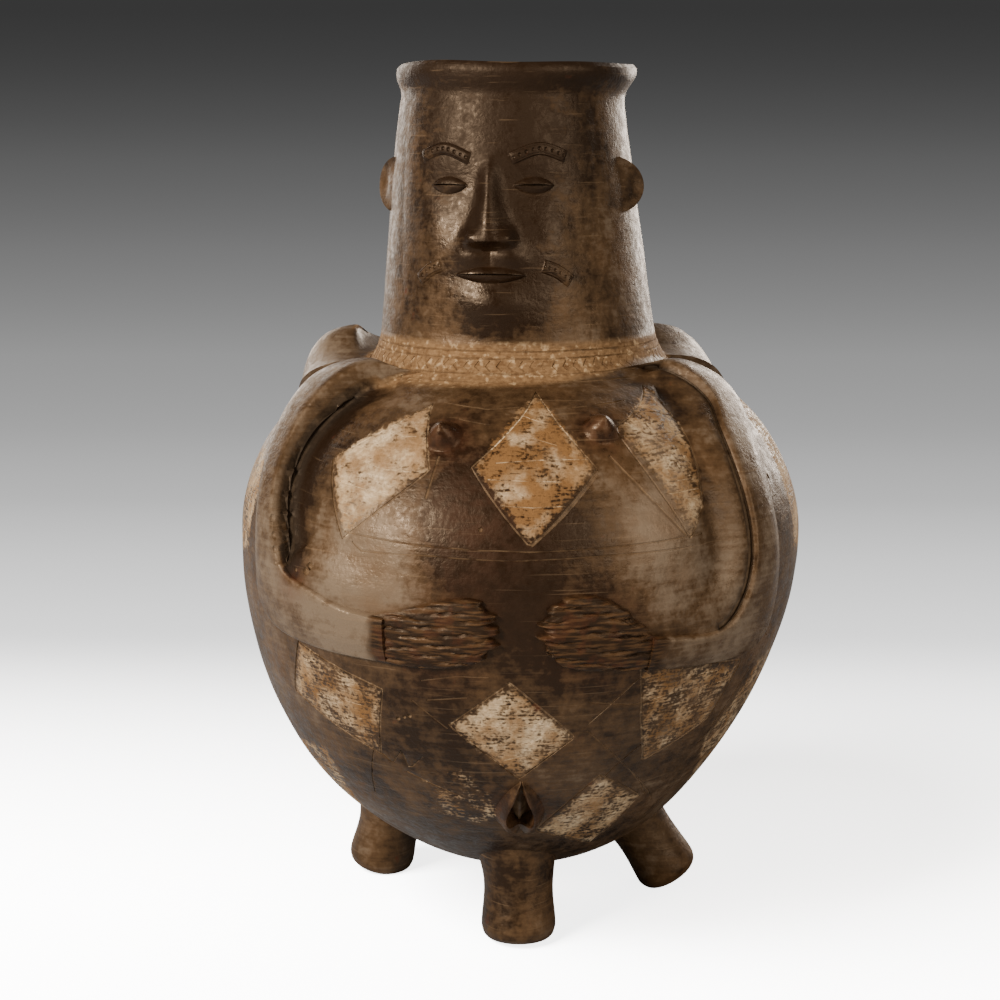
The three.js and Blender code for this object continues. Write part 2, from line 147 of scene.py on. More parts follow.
@dataclass(frozen=True)
class Outline:
    """The pot's outline, and the skin that it sweeps round the axis."""

    height: float
    belly_radius: float
    belly_bottom: float = 20.0
    belly_widest: float = 206.0
    collar_foot: float = 293.5
    collar_foot_radius: float = 83.5
    collar_top: float = 311.5
    collar_top_radius: float = 72.8
    neck_top_radius: float = 57.6
    lip_height: float = 17.0
    lip_flare: float = 4.2
    lip_thickness: float = 4.6
    wall: float = 7.0

    def line(self) -> Array:
        """Radius and height from the pole under the belly to the crown of the lip.

        Returns:
            The points, close together.
        """
        radius, foot = self.belly_radius, self.collar_foot_radius
        top, neck = self.collar_top_radius, self.neck_top_radius
        lower = self.belly_widest - self.belly_bottom
        upper = self.collar_foot - self.belly_widest
        flare = radius - foot
        neck_top = self.height - self.lip_height
        throat = neck_top - self.collar_top
        lip = neck + self.lip_flare
        belly = bezier([(0, self.belly_bottom), (0.62 * radius, self.belly_bottom),
                        (radius, self.belly_widest - 0.42 * lower), (radius, self.belly_widest)], 160)
        shoulder = bezier([(radius, self.belly_widest), (radius, self.belly_widest + 0.51 * upper),
                           (foot + 0.51 * flare, self.collar_foot - 0.086 * upper), (foot, self.collar_foot)], 110)
        collar = bezier([(foot, self.collar_foot),
                         (lerp(top, foot, 0.25), lerp(self.collar_foot, self.collar_top, 0.35)),
                         (top, self.collar_top)], 24)
        rise = bezier([(top, self.collar_top), (lerp(neck, top, 0.68), self.collar_top + 0.28 * throat),
                       (lerp(neck, top, 0.36), neck_top - 0.38 * throat), (neck, neck_top)], 120)
        swell = bezier([(neck, neck_top), (neck, neck_top + 6), (lip - 0.6, neck_top + 7),
                        (lip, self.height - 4.6)], 16)
        crown = bezier([(lip, self.height - 4.6), (lip + 0.1, self.height - 1.6), (lip - 0.9, self.height),
                        (lip - 2.2, self.height)], 8)
        return np.concatenate([belly, shoulder[1:], collar[1:], rise[1:], swell[1:], crown[1:]])

    def spaced(self, count: int) -> Array:
        """The outline again, in evenly long steps.

        Args:
            count: How many steps.

        Returns:
            Its points, radius and height.
        """
        line = self.line()
        along = self.lengths(line)
        even = np.linspace(0, along[-1], count + 1)
        return np.stack([np.interp(even, along, line[:, k]) for k in (0, 1)], axis=1)

    @staticmethod
    def lengths(line: Array) -> Array:
        """How far along the line each of its points lies."""
        return np.concatenate([[0], np.cumsum(np.linalg.norm(np.diff(line, axis=0), axis=1))])

    def skin(self, z: Array) -> tuple[Array, Array, Array]:
        """The skin at a height.

        Args:
            z: Heights.

        Returns:
            The radius there, and the outward direction's parts outwards and upwards.
        """
        line = self.line()
        slope = np.gradient(line, axis=0)
        slope /= np.linalg.norm(slope, axis=1)[:, None] + 1e-9
        ease = np.hanning(19) / np.hanning(19).sum()
        padded = np.pad(slope, ((9, 9), (0, 0)), mode="edge")
        eased = [np.convolve(padded[:, k], ease, "valid") for k in (1, 0)]
        radius, out, down = (np.interp(z, line[:, 1], row) for row in (line[:, 0], *eased))
        size = np.hypot(out, down)
        return radius, out / size, -down / size

    def point(self, azimuth: Array, z: Array, proud: Array | float) -> Array:
        """Points laid on the skin.

        Args:
            azimuth: Where they are around the pot.
            z: Their heights.
            proud: How far they stand out from the skin.

        Returns:
            The points as x, y, z on the last axis.
        """
        radius, out, up = self.skin(z)
        r = radius + proud * out
        turn = np.radians(azimuth)
        return np.stack([r * np.sin(turn), -r * np.cos(turn), z + proud * up], axis=-1)

    def share(self, percent: Array) -> Array:
        """The height at a percentage of the way from the belly's bottom to the foot of the collar."""
        return lerp(self.belly_bottom, self.collar_foot, np.asarray(percent, float) / 100)

    def unroll(self, corners: Array) -> tuple[Array, Array, Array]:
        """Where points lie on the skin.

        Args:
            corners: Points as x, y, z.

        Returns:
            Azimuth, height of the nearest skin, and height above the skin.
        """
        line = self.spaced(420)
        slope = np.gradient(line, axis=0)
        slope /= np.linalg.norm(slope, axis=1)[:, None]
        flat = np.stack([np.hypot(corners[:, 0], corners[:, 1]), corners[:, 2]], axis=1)
        nearest = np.concatenate([((part[:, None, :] - line[None]) ** 2).sum(-1).argmin(1)
                                  for part in np.array_split(flat, max(len(flat) // CHUNK, 1))])
        off = flat - line[nearest]
        slide = (off * slope[nearest]).sum(1)
        above = off[:, 0] * slope[nearest, 1] - off[:, 1] * slope[nearest, 0]
        azimuth = np.degrees(np.arctan2(corners[:, 0], -corners[:, 1]))
        return azimuth, line[nearest, 1] + slide * slope[nearest, 1], above


@dataclass
class Form:
    """A closed surface in millimetres."""

    corners: Array
    faces: list[tuple[int, ...]]

    def piece(self, name: str) -> Piece:
        """Make it a mesh object in metres, with its doubles merged and its faces pointing out.

        Args:
            name: The piece's name.

        Returns:
            The piece.
        """
        mesh = bpy.data.meshes.new(name)
        mesh.from_pydata((self.corners * MM).tolist(), [], self.faces)
        return settle(linked(name, mesh))


def linked(name: str, mesh: bpy.types.Mesh) -> Piece:
    """Put a mesh into the scene as an object.

    Args:
        name: Its name.
        mesh: The mesh.

    Returns:
        The object.
    """
    piece = bpy.data.objects.new(name, mesh)
    bpy.context.scene.collection.objects.link(piece)
    return piece


@contextmanager
def edited(mesh: bpy.types.Mesh) -> Iterator[bmesh.types.BMesh]:
    """Open a mesh for a change of shape, and write it back.

    Args:
        mesh: The mesh.

    Yields:
        Its open form.
    """
    shape = bmesh.new()
    shape.from_mesh(mesh)
    yield shape
    shape.to_mesh(mesh)
    shape.free()


def settle(piece: Piece) -> Piece:
    """Merge a mesh's doubles and turn its faces outwards.

    Args:
        piece: The piece.

    Returns:
        The same piece.
    """
    with edited(piece.data) as shape:
        bmesh.ops.remove_doubles(shape, verts=shape.verts, dist=WELD)
        bmesh.ops.recalc_face_normals(shape, faces=shape.faces)
    return piece


def baked(piece: Piece) -> Piece:
    """Turn a piece's modifiers into plain mesh, and take them off.

    Args:
        piece: The piece.

    Returns:
        The same piece.
    """
    graph = bpy.context.evaluated_depsgraph_get()
    mesh = bpy.data.meshes.new_from_object(piece.evaluated_get(graph))
    piece.modifiers.clear()
    old, piece.data = piece.data, mesh
    bpy.data.meshes.remove(old)
    return piece


def made_by(tree: Group, name: str, points: Array, edges: Sequence[tuple[int, int]],
            inputs: dict[str, float | int]) -> Piece:
    """Make a closed piece out of points and edges by a geometry tree.

    Args:
        tree: The tree.
        name: The piece's name.
        points: The points, in millimetres.
        edges: The edges between them.
        inputs: A value for each input of the tree, by its socket's identifier.

    Returns:
        The piece, as plain mesh.
    """
    mesh = bpy.data.meshes.new(name)
    mesh.from_pydata((points * MM).tolist(), edges, [])
    piece = linked(name, mesh)
    step = piece.modifiers.new(tree.name, "NODES")
    step.node_group = tree
    for key, value in inputs.items():
        step[key] = value
    return settle(baked(piece))


def meet(base: Piece, forms: Sequence[Piece], how: Meeting) -> None:
    """Join forms to a base, or cut them out of it, and take them away.

    Args:
        base: The piece that changes.
        forms: The closed forms.
        how: Join or cut.
    """
    for form in forms:
        step = base.modifiers.new(form.name, "BOOLEAN")
        step.operation = how.value
        step.solver = "MANIFOLD"
        step.object = form
    baked(base)
    for form in forms:
        bpy.data.meshes.remove(form.data)


def laid(outline: Outline, place: Place, proud: Rise, along: Array, across: Array, root: float | Rise) -> Form:
    """A form laid on the skin.

    Args:
        outline: The pot's outline.
        place: Azimuth and height for a place on the form.
        proud: Height above the skin for a place on the form.
        along: Places along the form, from 0 to 1.
        across: Places from its inner to its outer edge, from 0 to 1.
        root: How deep it goes into the wall, the same all over or for a place on the form.

    Returns:
        The closed form.
    """
    u, v = np.meshgrid(along, across, indexing="ij")
    azimuth, z = place(u, v)
    deep = root(u, v) if callable(root) else root
    top = outline.point(azimuth, z, proud(u, v)).reshape(-1, 3)
    foot = outline.point(azimuth, z, -deep).reshape(-1, 3)
    rows, columns = u.shape
    size = rows * columns
    index = np.arange(size).reshape(rows, columns)
    quads = np.stack([index[:-1, :-1], index[1:, :-1], index[1:, 1:], index[:-1, 1:]], -1).reshape(-1, 4)
    ring = np.concatenate([index[0, :-1], index[:-1, -1], index[-1, :0:-1], index[:0:-1, 0]])
    after = np.roll(ring, -1)
    sides = np.stack([ring, after, after + size, ring + size], -1)
    faces = np.concatenate([quads[:, ::-1], quads + size, sides])
    return Form(np.concatenate([top, foot]), [tuple(f) for f in faces.tolist()])


def rounded(v: Array, edge: float, far_edge: float | None = None) -> Array:
    """A quarter round at both edges of a form, as a share of its height."""
    near = np.minimum(np.minimum(v / edge, (1 - v) / (far_edge or edge)), 1)
    return np.sqrt(np.maximum(1 - (1 - near) ** 2, 0))


def edge_packed(count: int, crowd: float) -> Array:
    """Places from 0 to 1 that crowd towards both ends."""
    t = np.linspace(-1, 1, count + 1)
    return 0.5 + 0.5 * np.sign(t) * (1 - (1 - np.abs(t)) ** crowd)


class NodeTree:
    """A node tree under construction: a geometry tree or a shader group."""

    def __init__(self, name: str, kind: str) -> None:
        """Start an empty tree of a kind such as GeometryNodeTree."""
        self.tree = bpy.data.node_groups.new(name, kind)
        self.start = self.tree.nodes.new("NodeGroupInput")
        self.end = self.tree.nodes.new("NodeGroupOutput")

    def inlet(self, name: str, kind: str, value: float | int | None = None) -> str:
        """Add a named input socket and return its identifier.

        Args:
            name: Its name.
            kind: The socket's type.
            value: Its value to begin with.

        Returns:
            The identifier.
        """
        socket = self.tree.interface.new_socket(name=name, in_out="INPUT", socket_type=kind)
        if value is not None:
            socket.default_value = value
        return socket.identifier

    def outlet(self, name: str, kind: str) -> None:
        """Add a named output socket."""
        self.tree.interface.new_socket(name=name, in_out="OUTPUT", socket_type=kind)

    def add(self, kind: str, inputs: dict[str | int, object] | None = None, **settings: object) -> bpy.types.Node:
        """Add a node.

        Args:
            kind: The node's type.
            inputs: A socket or a value for each input, by its name or place.
            **settings: Its properties.

        Returns:
            The node.
        """
        node = self.tree.nodes.new(kind)
        for key, value in settings.items():
            setattr(node, key, value)
        for key, source in (inputs or {}).items():
            self.value(node.inputs[key], source)
        return node

    def join(self, source: Socket, target: Socket) -> None:
        """Link two sockets."""
        self.tree.links.new(source, target)

    def value(self, target: Socket, source: object) -> None:
        """Link a socket if source is one, or else set its value.

        Args:
            target: The socket.
            source: A socket or a value.
        """
        if isinstance(source, Socket):
            self.join(source, target)
        else:
            target.default_value = source

    def math(self, operation: str, *values: object, clamp: bool = False) -> Socket:
        """Add a Math node.

        Args:
            operation: What it works out.
            *values: Sockets or numbers.
            clamp: Whether the result stays between 0 and 1.

        Returns:
            Its output.
        """
        return self.add("ShaderNodeMath", dict(enumerate(values)), operation=operation, use_clamp=clamp).outputs[0]

    def eased(self, value: Socket, low: object, high: object) -> Socket:
        """Add a node that eases a value.

        Args:
            value: The value.
            low: A socket or a number: the value that becomes 0.
            high: A socket or a number: the value that becomes 1.

        Returns:
            Its output.
        """
        inputs = {"Value": value, "From Min": low, "From Max": high}
        return self.add("ShaderNodeMapRange", inputs, interpolation_type="SMOOTHSTEP").outputs["Result"]


def geometry_tree(name: str) -> NodeTree:
    """Start a geometry tree that takes a geometry and gives one.

    Args:
        name: The tree's name.

    Returns:
        The tree.
    """
    tree = NodeTree(name, "GeometryNodeTree")
    tree.inlet("Geometry", "NodeSocketGeometry")
    tree.outlet("Geometry", "NodeSocketGeometry")
    return tree


def finish_tree(tree: NodeTree, geometry: Socket, material: Material) -> Group:
    """End a geometry tree in plain mesh with a material.

    Args:
        tree: The tree.
        geometry: What it has made.
        material: What the mesh is dressed in.

    Returns:
        The finished node group.
    """
    real = tree.add("GeometryNodeRealizeInstances", {"Geometry": geometry})
    dress = tree.add("GeometryNodeSetMaterial", {"Geometry": real.outputs["Geometry"], "Material": material})
    tree.join(dress.outputs["Geometry"], tree.end.inputs[0])
    return tree.tree


class Turning:
    """Turned clay: a line of radius and height swept round the axis by Geometry Nodes."""

    def __init__(self, material: Material) -> None:
        """Build the tree once.

        Args:
            material: What the pieces are dressed in.
        """
        tree = geometry_tree("turned clay")
        self.columns = tree.inlet("Columns", "NodeSocketInt", 32)
        source = tree.start.outputs
        rows = tree.add("GeometryNodeAttributeDomainSize", {"Geometry": source["Geometry"]}).outputs["Point Count"]
        grid = tree.add("GeometryNodeMeshGrid", {"Vertices X": tree.math("ADD", source["Columns"], 1),
                                                 "Vertices Y": rows})
        place = tree.add("GeometryNodeInputPosition").outputs[0]
        split = tree.add("ShaderNodeSeparateXYZ", {0: place}).outputs
        share = tree.math("ADD", split["Y"], 0.5)
        row = tree.math("ROUND", tree.math("MULTIPLY", share, tree.math("SUBTRACT", rows, 1)))
        turn = tree.math("MULTIPLY", tree.math("ADD", split["X"], 0.5), math.tau)
        sample = tree.add("GeometryNodeSampleIndex", {"Geometry": source["Geometry"], "Value": place, "Index": row},
                          data_type="FLOAT_VECTOR")
        profile = tree.add("ShaderNodeSeparateXYZ", {0: sample.outputs["Value"]}).outputs
        back = tree.math("MULTIPLY", profile["X"], tree.math("COSINE", turn))
        put = tree.add("ShaderNodeCombineXYZ", {"X": tree.math("MULTIPLY", profile["X"], tree.math("SINE", turn)),
                                                "Y": tree.math("MULTIPLY", back, -1), "Z": profile["Z"]})
        move = tree.add("GeometryNodeSetPosition", {"Geometry": grid.outputs["Mesh"], "Position": put.outputs[0]})
        merge = tree.add("GeometryNodeMergeByDistance", {"Geometry": move.outputs["Geometry"], "Distance": WELD})
        self.tree = finish_tree(tree, merge.outputs["Geometry"], material)

    def turn(self, name: str, line: Array, columns: int) -> Piece:
        """Sweep a line round the axis.

        Args:
            name: The piece's name.
            line: Radius and height, starting and ending on the axis.
            columns: How many faces there are around it.

        Returns:
            The closed piece.
        """
        points = np.stack([line[:, 0], np.zeros(len(line)), line[:, 1]], axis=1)
        edges = [(i, i + 1) for i in range(len(line) - 1)]
        return made_by(self.tree, name, points, edges, {self.columns: columns})


class Stylus:
    """A pointed stick that draws lines and pricks holes: the closed cutters, made by Geometry Nodes."""

    def __init__(self, material: Material) -> None:
        """Build both trees once."""
        self.lines = self._line_tree(material)
        self.pricks = self._prick_tree(material)

    def _line_tree(self, material: Material) -> Group:
        """A tube along each polyline, with a hand's wobble.

        Args:
            material: What the pieces are dressed in.

        Returns:
            The node group.
        """
        tree = geometry_tree("incised lines")
        self.width = tree.inlet("Width", "NodeSocketFloat", 1.2 * MM)
        tree.inlet("Step", "NodeSocketFloat", 3.5 * MM)
        self.wobble = tree.inlet("Wobble", "NodeSocketFloat", 0.3 * MM)
        source = tree.start.outputs
        curve = tree.add("GeometryNodeMeshToCurve", {"Mesh": source["Geometry"]}).outputs["Curve"]
        even = tree.add("GeometryNodeResampleCurve", {"Curve": curve, "Length": source["Step"]}, mode="LENGTH")
        shake = tree.add("ShaderNodeTexNoise", {"W": float(SEED), "Scale": 90}, noise_dimensions="4D")
        centre = tree.add("ShaderNodeVectorMath", {0: shake.outputs["Color"], 1: (0.5, 0.5, 0.5)},
                          operation="SUBTRACT")
        reach = tree.add("ShaderNodeVectorMath", {0: centre.outputs[0], "Scale": source["Wobble"]},
                         operation="SCALE")
        move = tree.add("GeometryNodeSetPosition", {"Geometry": even.outputs["Curve"], "Offset": reach.outputs[0]})
        ring = tree.add("GeometryNodeCurvePrimitiveCircle",
                        {"Resolution": 5, "Radius": tree.math("MULTIPLY", source["Width"], 0.5)})
        tube = tree.add("GeometryNodeCurveToMesh", {"Curve": move.outputs["Geometry"], "Fill Caps": True,
                                                    "Profile Curve": ring.outputs["Curve"]})
        return finish_tree(tree, tube.outputs["Mesh"], material)

    def _prick_tree(self, material: Material) -> Group:
        """A small ball at each point, of slightly varied size.

        Args:
            material: What the pieces are dressed in.

        Returns:
            The node group.
        """
        tree = geometry_tree("pricked holes")
        self.hole = tree.inlet("Width", "NodeSocketFloat", 2 * MM)
        source = tree.start.outputs
        ball = tree.add("GeometryNodeMeshUVSphere",
                        {"Segments": 8, "Rings": 6, "Radius": tree.math("MULTIPLY", source["Width"], 0.5)})
        vary = tree.add("FunctionNodeRandomValue", {"Seed": SEED}, data_type="FLOAT")
        sizes = {socket.identifier: socket for socket in vary.inputs}
        sizes["Min_001"].default_value = 0.8
        sizes["Max_001"].default_value = 1.2
        size = next(socket for socket in vary.outputs if socket.enabled)
        points = tree.add("GeometryNodeMeshToPoints", {"Mesh": source["Geometry"]}).outputs["Points"]
        copy = tree.add("GeometryNodeInstanceOnPoints",
                        {"Points": points, "Instance": ball.outputs["Mesh"], "Scale": size})
        return finish_tree(tree, copy.outputs["Instances"], material)

    def draw(self, name: str, strokes: Sequence[Array], width: float, wobble: float = 0.5) -> Piece:
        """The cutter for a set of lines that don't cross one another.

        Args:
            name: The cutter's name.
            strokes: Polylines in millimetres, each closed where its last point is its first.
            width: How wide the point of the stick is.
            wobble: How far the hand strays.

        Returns:
            The closed cutter.
        """
        runs, edges, first = [], [], 0
        for stroke in strokes:
            closed = np.allclose(stroke[0], stroke[-1])
            runs.append(stroke[:-1] if closed else stroke)
            last = first + len(runs[-1]) - 1
            edges += [(i, i + 1) for i in range(first, last)] + ([(last, first)] if closed else [])
            first = last + 1
        sizes = {self.width: width * MM, self.wobble: wobble * MM}
        return made_by(self.lines, name, np.concatenate(runs), edges, sizes)

    def prick(self, name: str, points: Array, width: float) -> Piece:
        """The cutter for a set of round holes, each as deep as half its width."""
        return made_by(self.pricks, name, points, [], {self.hole: width * MM})


@dataclass(frozen=True)
class Arm:
    """An arm with its hand, laid on the shoulder and the belly.

    Stations run from the shoulder to the wrist, and from there to the finger tips. Each gives the
    inner edge, then the outer edge, as an azimuth and a percentage of the belly's height.
    """

    name: str
    turn: float
    shoulder_proud: float
    stations: tuple[tuple[float, float, float, float], ...]
    hand_stations: tuple[tuple[float, float, float, float], ...]
    edge_from: float
    finger_pitch: float
    ragged: float
    proud: float = 7.0
    hand_proud: float = 4.9
    groove_depth: float = 1.1
    root: float = 4.6

    def between(self, outline: Outline, stations: tuple, turn: float) -> Place:
        """Places between the two edges that stations give.

        Args:
            outline: The pot's outline.
            stations: The inner and outer edges.
            turn: How far round the pot they are turned.

        Returns:
            A function from shares along and across to azimuth and height.
        """
        inner = [(s[0], s[1]) for s in stations]
        outer = [(s[2], s[3]) for s in stations]

        def place(u: Array, v: Array) -> tuple[Array, Array]:
            """Azimuth and height."""
            p = lerp(spline(inner, u), spline(outer, u), v[..., None])
            return p[..., 0] + turn, outline.share(p[..., 1])

        return place

    def limb(self, outline: Outline) -> Form:
        """A domed shoulder, then a crisp inner edge and a flat back that falls away outwards.

        Args:
            outline: The pot's outline.

        Returns:
            The closed form.
        """

        def rise(u: Array, v: Array) -> Array:
            """Height above the skin."""
            dome = np.exp(-(((u - 0.16) / 0.13) ** 2))
            high = (self.proud + (self.shoulder_proud - self.proud) * dome) * smoothstep(u, -0.03, 0.09)
            crisp = smoothstep(u, self.edge_from, self.edge_from + 0.2)
            outer = lerp(0.35, 0.45, smoothstep(u, 0.2, 0.42)) + 0.25 * smoothstep(u, 0.6, 0.8)
            reach = lerp(0.4, 0.14, crisp)
            climb = lerp(lerp(0.3, 0.86, crisp), 1, np.sin(0.5 * np.pi * np.minimum(v / reach, 1)))
            back = np.where(v < reach, climb, lerp(1, outer, smoothstep(v, lerp(0.35, 0.5, crisp), 1)))
            return high * back * lerp(1, rounded(v, 0.05, 0.1), crisp) - 0.4

        place = self.between(outline, self.stations, self.turn)
        return laid(outline, place, rise, np.linspace(0, 1, 105), edge_packed(20, 1.9), self.root)

    def hand(self, outline: Outline, fine: bool) -> Form:
        """A flat slab with ragged level grooves between the fingers.

        Args:
            outline: The pot's outline.
            fine: Whether it has as many faces as the front ones need.

        Returns:
            The closed form.
        """
        place = self.between(outline, self.hand_stations, self.turn)

        def edged(u: Array, v: Array) -> tuple[Array, Array]:
            """Azimuth and height, with a torn edge at the wrist and the tips."""
            azimuth, z = place(u, v)
            return azimuth + 4 * self.ragged * (np.sin(0.9 * z) + 0.6 * np.sin(2.1 * z + 1)) * np.abs(2 * u - 1), z

        def rise(u: Array, v: Array) -> Array:
            """Height above the skin."""
            azimuth, z = edged(u, v)
            slab = self.hand_proud * (1 - 0.3 * np.abs(2 * v - 1) ** 4) * (1 - 0.45 * smoothstep(u, 0.8, 1))
            stray = np.sin(0.31 * azimuth + 0.23 * z) + 0.6 * np.sin(0.9 * azimuth - 0.41 * z + 2)
            stray += 0.5 * np.sin(2.3 * azimuth + 0.7 * z)
            row = z / self.finger_pitch + self.ragged * stray
            finger = np.round(row)
            deep = smoothstep(u, 0.02, 0.14) * np.clip(0.5 + 0.8 * np.sin(0.5 * azimuth + 2.4 * finger), 0.1, 1)
            groove = deep * np.exp(-(((row - finger) / 0.2) ** 2))
            uneven = 2 * self.ragged * np.sin(12.9 * finger)
            edges = rounded(v, 0.05) * rounded(lerp(0.5, 1, u), 0.04)
            return (slab + uneven) * edges - self.groove_depth * groove

        across, along = (64, 40) if fine else (34, 20)
        return laid(outline, edged, rise, np.linspace(0, 1, along + 1), np.linspace(0, 1, across + 1), self.root)

    def inner_places(self, outline: Outline, start: float, end: float, steps: int) -> Array:
        """Azimuths and heights along the arm's inner edge, between two shares of its length."""
        edge = spline([(s[0], s[1]) for s in self.stations], np.linspace(start, end, steps))
        return np.stack([edge[:, 0] + self.turn, outline.share(edge[:, 1])], axis=1)


LEFT_ARM = (
    (-36, 101.5, -84, 101.5), (-45, 100.3, -82, 98), (-52.5, 98, -78, 94.6), (-55.5, 93.1, -73, 90.1),
    (-55.5, 87.2, -68, 85.2), (-53, 80.3, -63.5, 79.3), (-50, 74.4, -61.5, 73.4), (-48, 69.9, -61, 67),
    (-44.5, 67.7, -59, 60.6), (-39, 66.3, -53, 56.4), (-32, 64.5, -42, 55.2), (-24, 63.7, -24, 54.9),
)
RIGHT_ARM = (
    (42, 102, 86, 101.5), (51, 101.5, 84, 98.5), (57.5, 99.5, 79, 95.6), (56, 95.6, 72, 92.6),
    (50.5, 91.6, 65, 89.2), (48, 86.2, 60, 84.2), (47.3, 80.3, 58.3, 79.3), (47, 74.4, 58, 73.4),
    (46.3, 69.5, 57.7, 67.5), (44.5, 64.5, 57, 61.1), (41, 60.6, 54.5, 54.7), (35, 59.3, 46, 52.7),
    (24, 60.4, 24, 53.9),
)
LEFT_HAND = (
    (-27, 63.8, -27, 55), (-20, 65.7, -20, 54.6), (-13, 67.3, -13, 55), (-7.5, 67.5, -7.5, 56.2),
    (-4, 64, -4, 59.6),
)
RIGHT_HAND = (
    (26, 59.1, 26, 55.3), (22, 62.6, 22, 54.1), (16.5, 66.9, 16.5, 54.4), (10.5, 68.4, 10.5, 55.1),
    (6.5, 67, 6.5, 57), (4.2, 63.7, 4.2, 61),
)
REAR_TURN = 188.0
ARMS = (
    Arm("left arm", 0, 13, LEFT_ARM, LEFT_HAND, edge_from=0.0, finger_pitch=3.0, ragged=0.2),
    Arm("right arm", 0, 10, RIGHT_ARM, RIGHT_HAND, edge_from=0.0, finger_pitch=3.0, ragged=0.2),
    Arm("rear right arm", REAR_TURN, 22.5, LEFT_ARM, LEFT_HAND, edge_from=0.2, finger_pitch=6.5, ragged=0.06),
    Arm("rear left arm", REAR_TURN, 22.5, RIGHT_ARM, RIGHT_HAND, edge_from=0.2, finger_pitch=6.5, ragged=0.06),
)


@dataclass(frozen=True)
class Bank:
    """How the belly is drawn up to an arm's inner edge, with a valley beside it above the elbow."""

    arm: Arm
    rise: float
    reach: float
    valley: float
    valley_at: float
    valley_wide: float
    elbow: float
    swell_rise: float = 4.4
    swell_reach: float = 26.0

    def height(self, off: Array, along: Array, inside: Array) -> Array:
        """Height of the belly near the arm.

        Args:
            off: How far from the arm's inner edge.
            along: Where along that edge, from 0 to 1.
            inside: Whether it is on the chest's side of the edge.

        Returns:
            The height above the turned skin.
        """
        swell = smoothstep(along, self.elbow - 0.08, self.elbow + 0.08)
        fade = smoothstep(along, 0, 0.1) * (1 - 0.6 * smoothstep(along, 0.84, 1))
        reach = lerp(self.reach, self.swell_reach, swell)
        rise = lerp(self.rise, self.swell_rise, swell) * fade
        bank = rise * (1 - smoothstep(off / reach, 0.1, 1))
        valley = self.valley * (1 - swell) * fade * np.exp(-(((off - self.valley_at) / self.valley_wide) ** 2))
        return np.where(inside, bank - valley, rise * (1 - smoothstep(off, 4, 14)))


BANKS = (
    Bank(ARMS[0], rise=1.2, reach=7, valley=3.6, valley_at=5, valley_wide=13, elbow=0.62),
    Bank(ARMS[1], rise=4.4, reach=20, valley=2.2, valley_at=21, valley_wide=8, elbow=0.72),
)


@dataclass(frozen=True)
class Skin:
    """The belly's own modelling beside the front arms."""

    outline: Outline
    edge_start: float = 0.06
    edge_steps: int = 90

    def relief(self, azimuth: Array, z: Array) -> Array:
        """Height of the modelled skin above the turned one.

        Args:
            azimuth: Azimuths.
            z: Heights.

        Returns:
            The heights above it, in the same shape.
        """
        shape = np.shape(azimuth)
        azimuth, z = np.ravel(azimuth), np.ravel(z)
        place = self.outline.point(azimuth, z, 0)
        edges = [bank.arm.inner_places(self.outline, self.edge_start, 1, self.edge_steps) for bank in BANKS]
        inside = inside_by(np.stack([azimuth, z], axis=1), np.concatenate([edges[0], edges[1][::-1]])) > 0
        height = np.zeros(len(place))
        for bank, edge in zip(BANKS, edges):
            line = self.outline.point(*edge.T, 0)
            gaps = [np.linalg.norm(part[:, None] - line[None], axis=-1)
                    for part in np.array_split(place, max(len(place) // CHUNK, 1))]
            off = np.concatenate([gap.min(1) for gap in gaps])
            along = np.concatenate([gap.argmin(1) for gap in gaps]) / (self.edge_steps - 1)
            height += bank.height(off, along, inside)
        return height.reshape(shape)

    def cracks(self) -> list[Array]:
        """The drying crack along each front arm's inner edge.

        Returns:
            A polyline for each arm.
        """
        found = []
        for bank, start, end in zip(BANKS, (0.2, 0.1), (0.66, 0.86)):
            places = bank.arm.inner_places(self.outline, start, end, 40)
            chestward = -np.sign(places[0, 0])
            found.append(self.trace([(a + 0.75 * chestward, z) for a, z in places], 0.2))
        return found

    def trace(self, places: Sequence[tuple[float, float]], lift: float, closed: bool = False) -> Array:
        """A polyline on the skin through given places, in short steps.

        Args:
            places: Azimuths and heights.
            lift: How far above the skin it runs.
            closed: Whether it comes back to its start.

        Returns:
            The points.
        """
        ends = list(places) + ([places[0]] if closed else [])
        runs = []
        for a, b in zip(ends[:-1], ends[1:]):
            reach = np.linalg.norm(np.diff(self.outline.point(*np.array([a, b], float).T, 0), axis=0))
            t = np.linspace(0, 1, max(int(reach / 3), 2), endpoint=False)[:, None]
            runs.append(lerp(np.array(a, float), np.array(b, float), t))
        path = np.concatenate(runs + [np.array(ends[-1:], float)])
        azimuth, z = path.T
        return self.outline.point(azimuth, z, self.relief(azimuth, z) + lift)


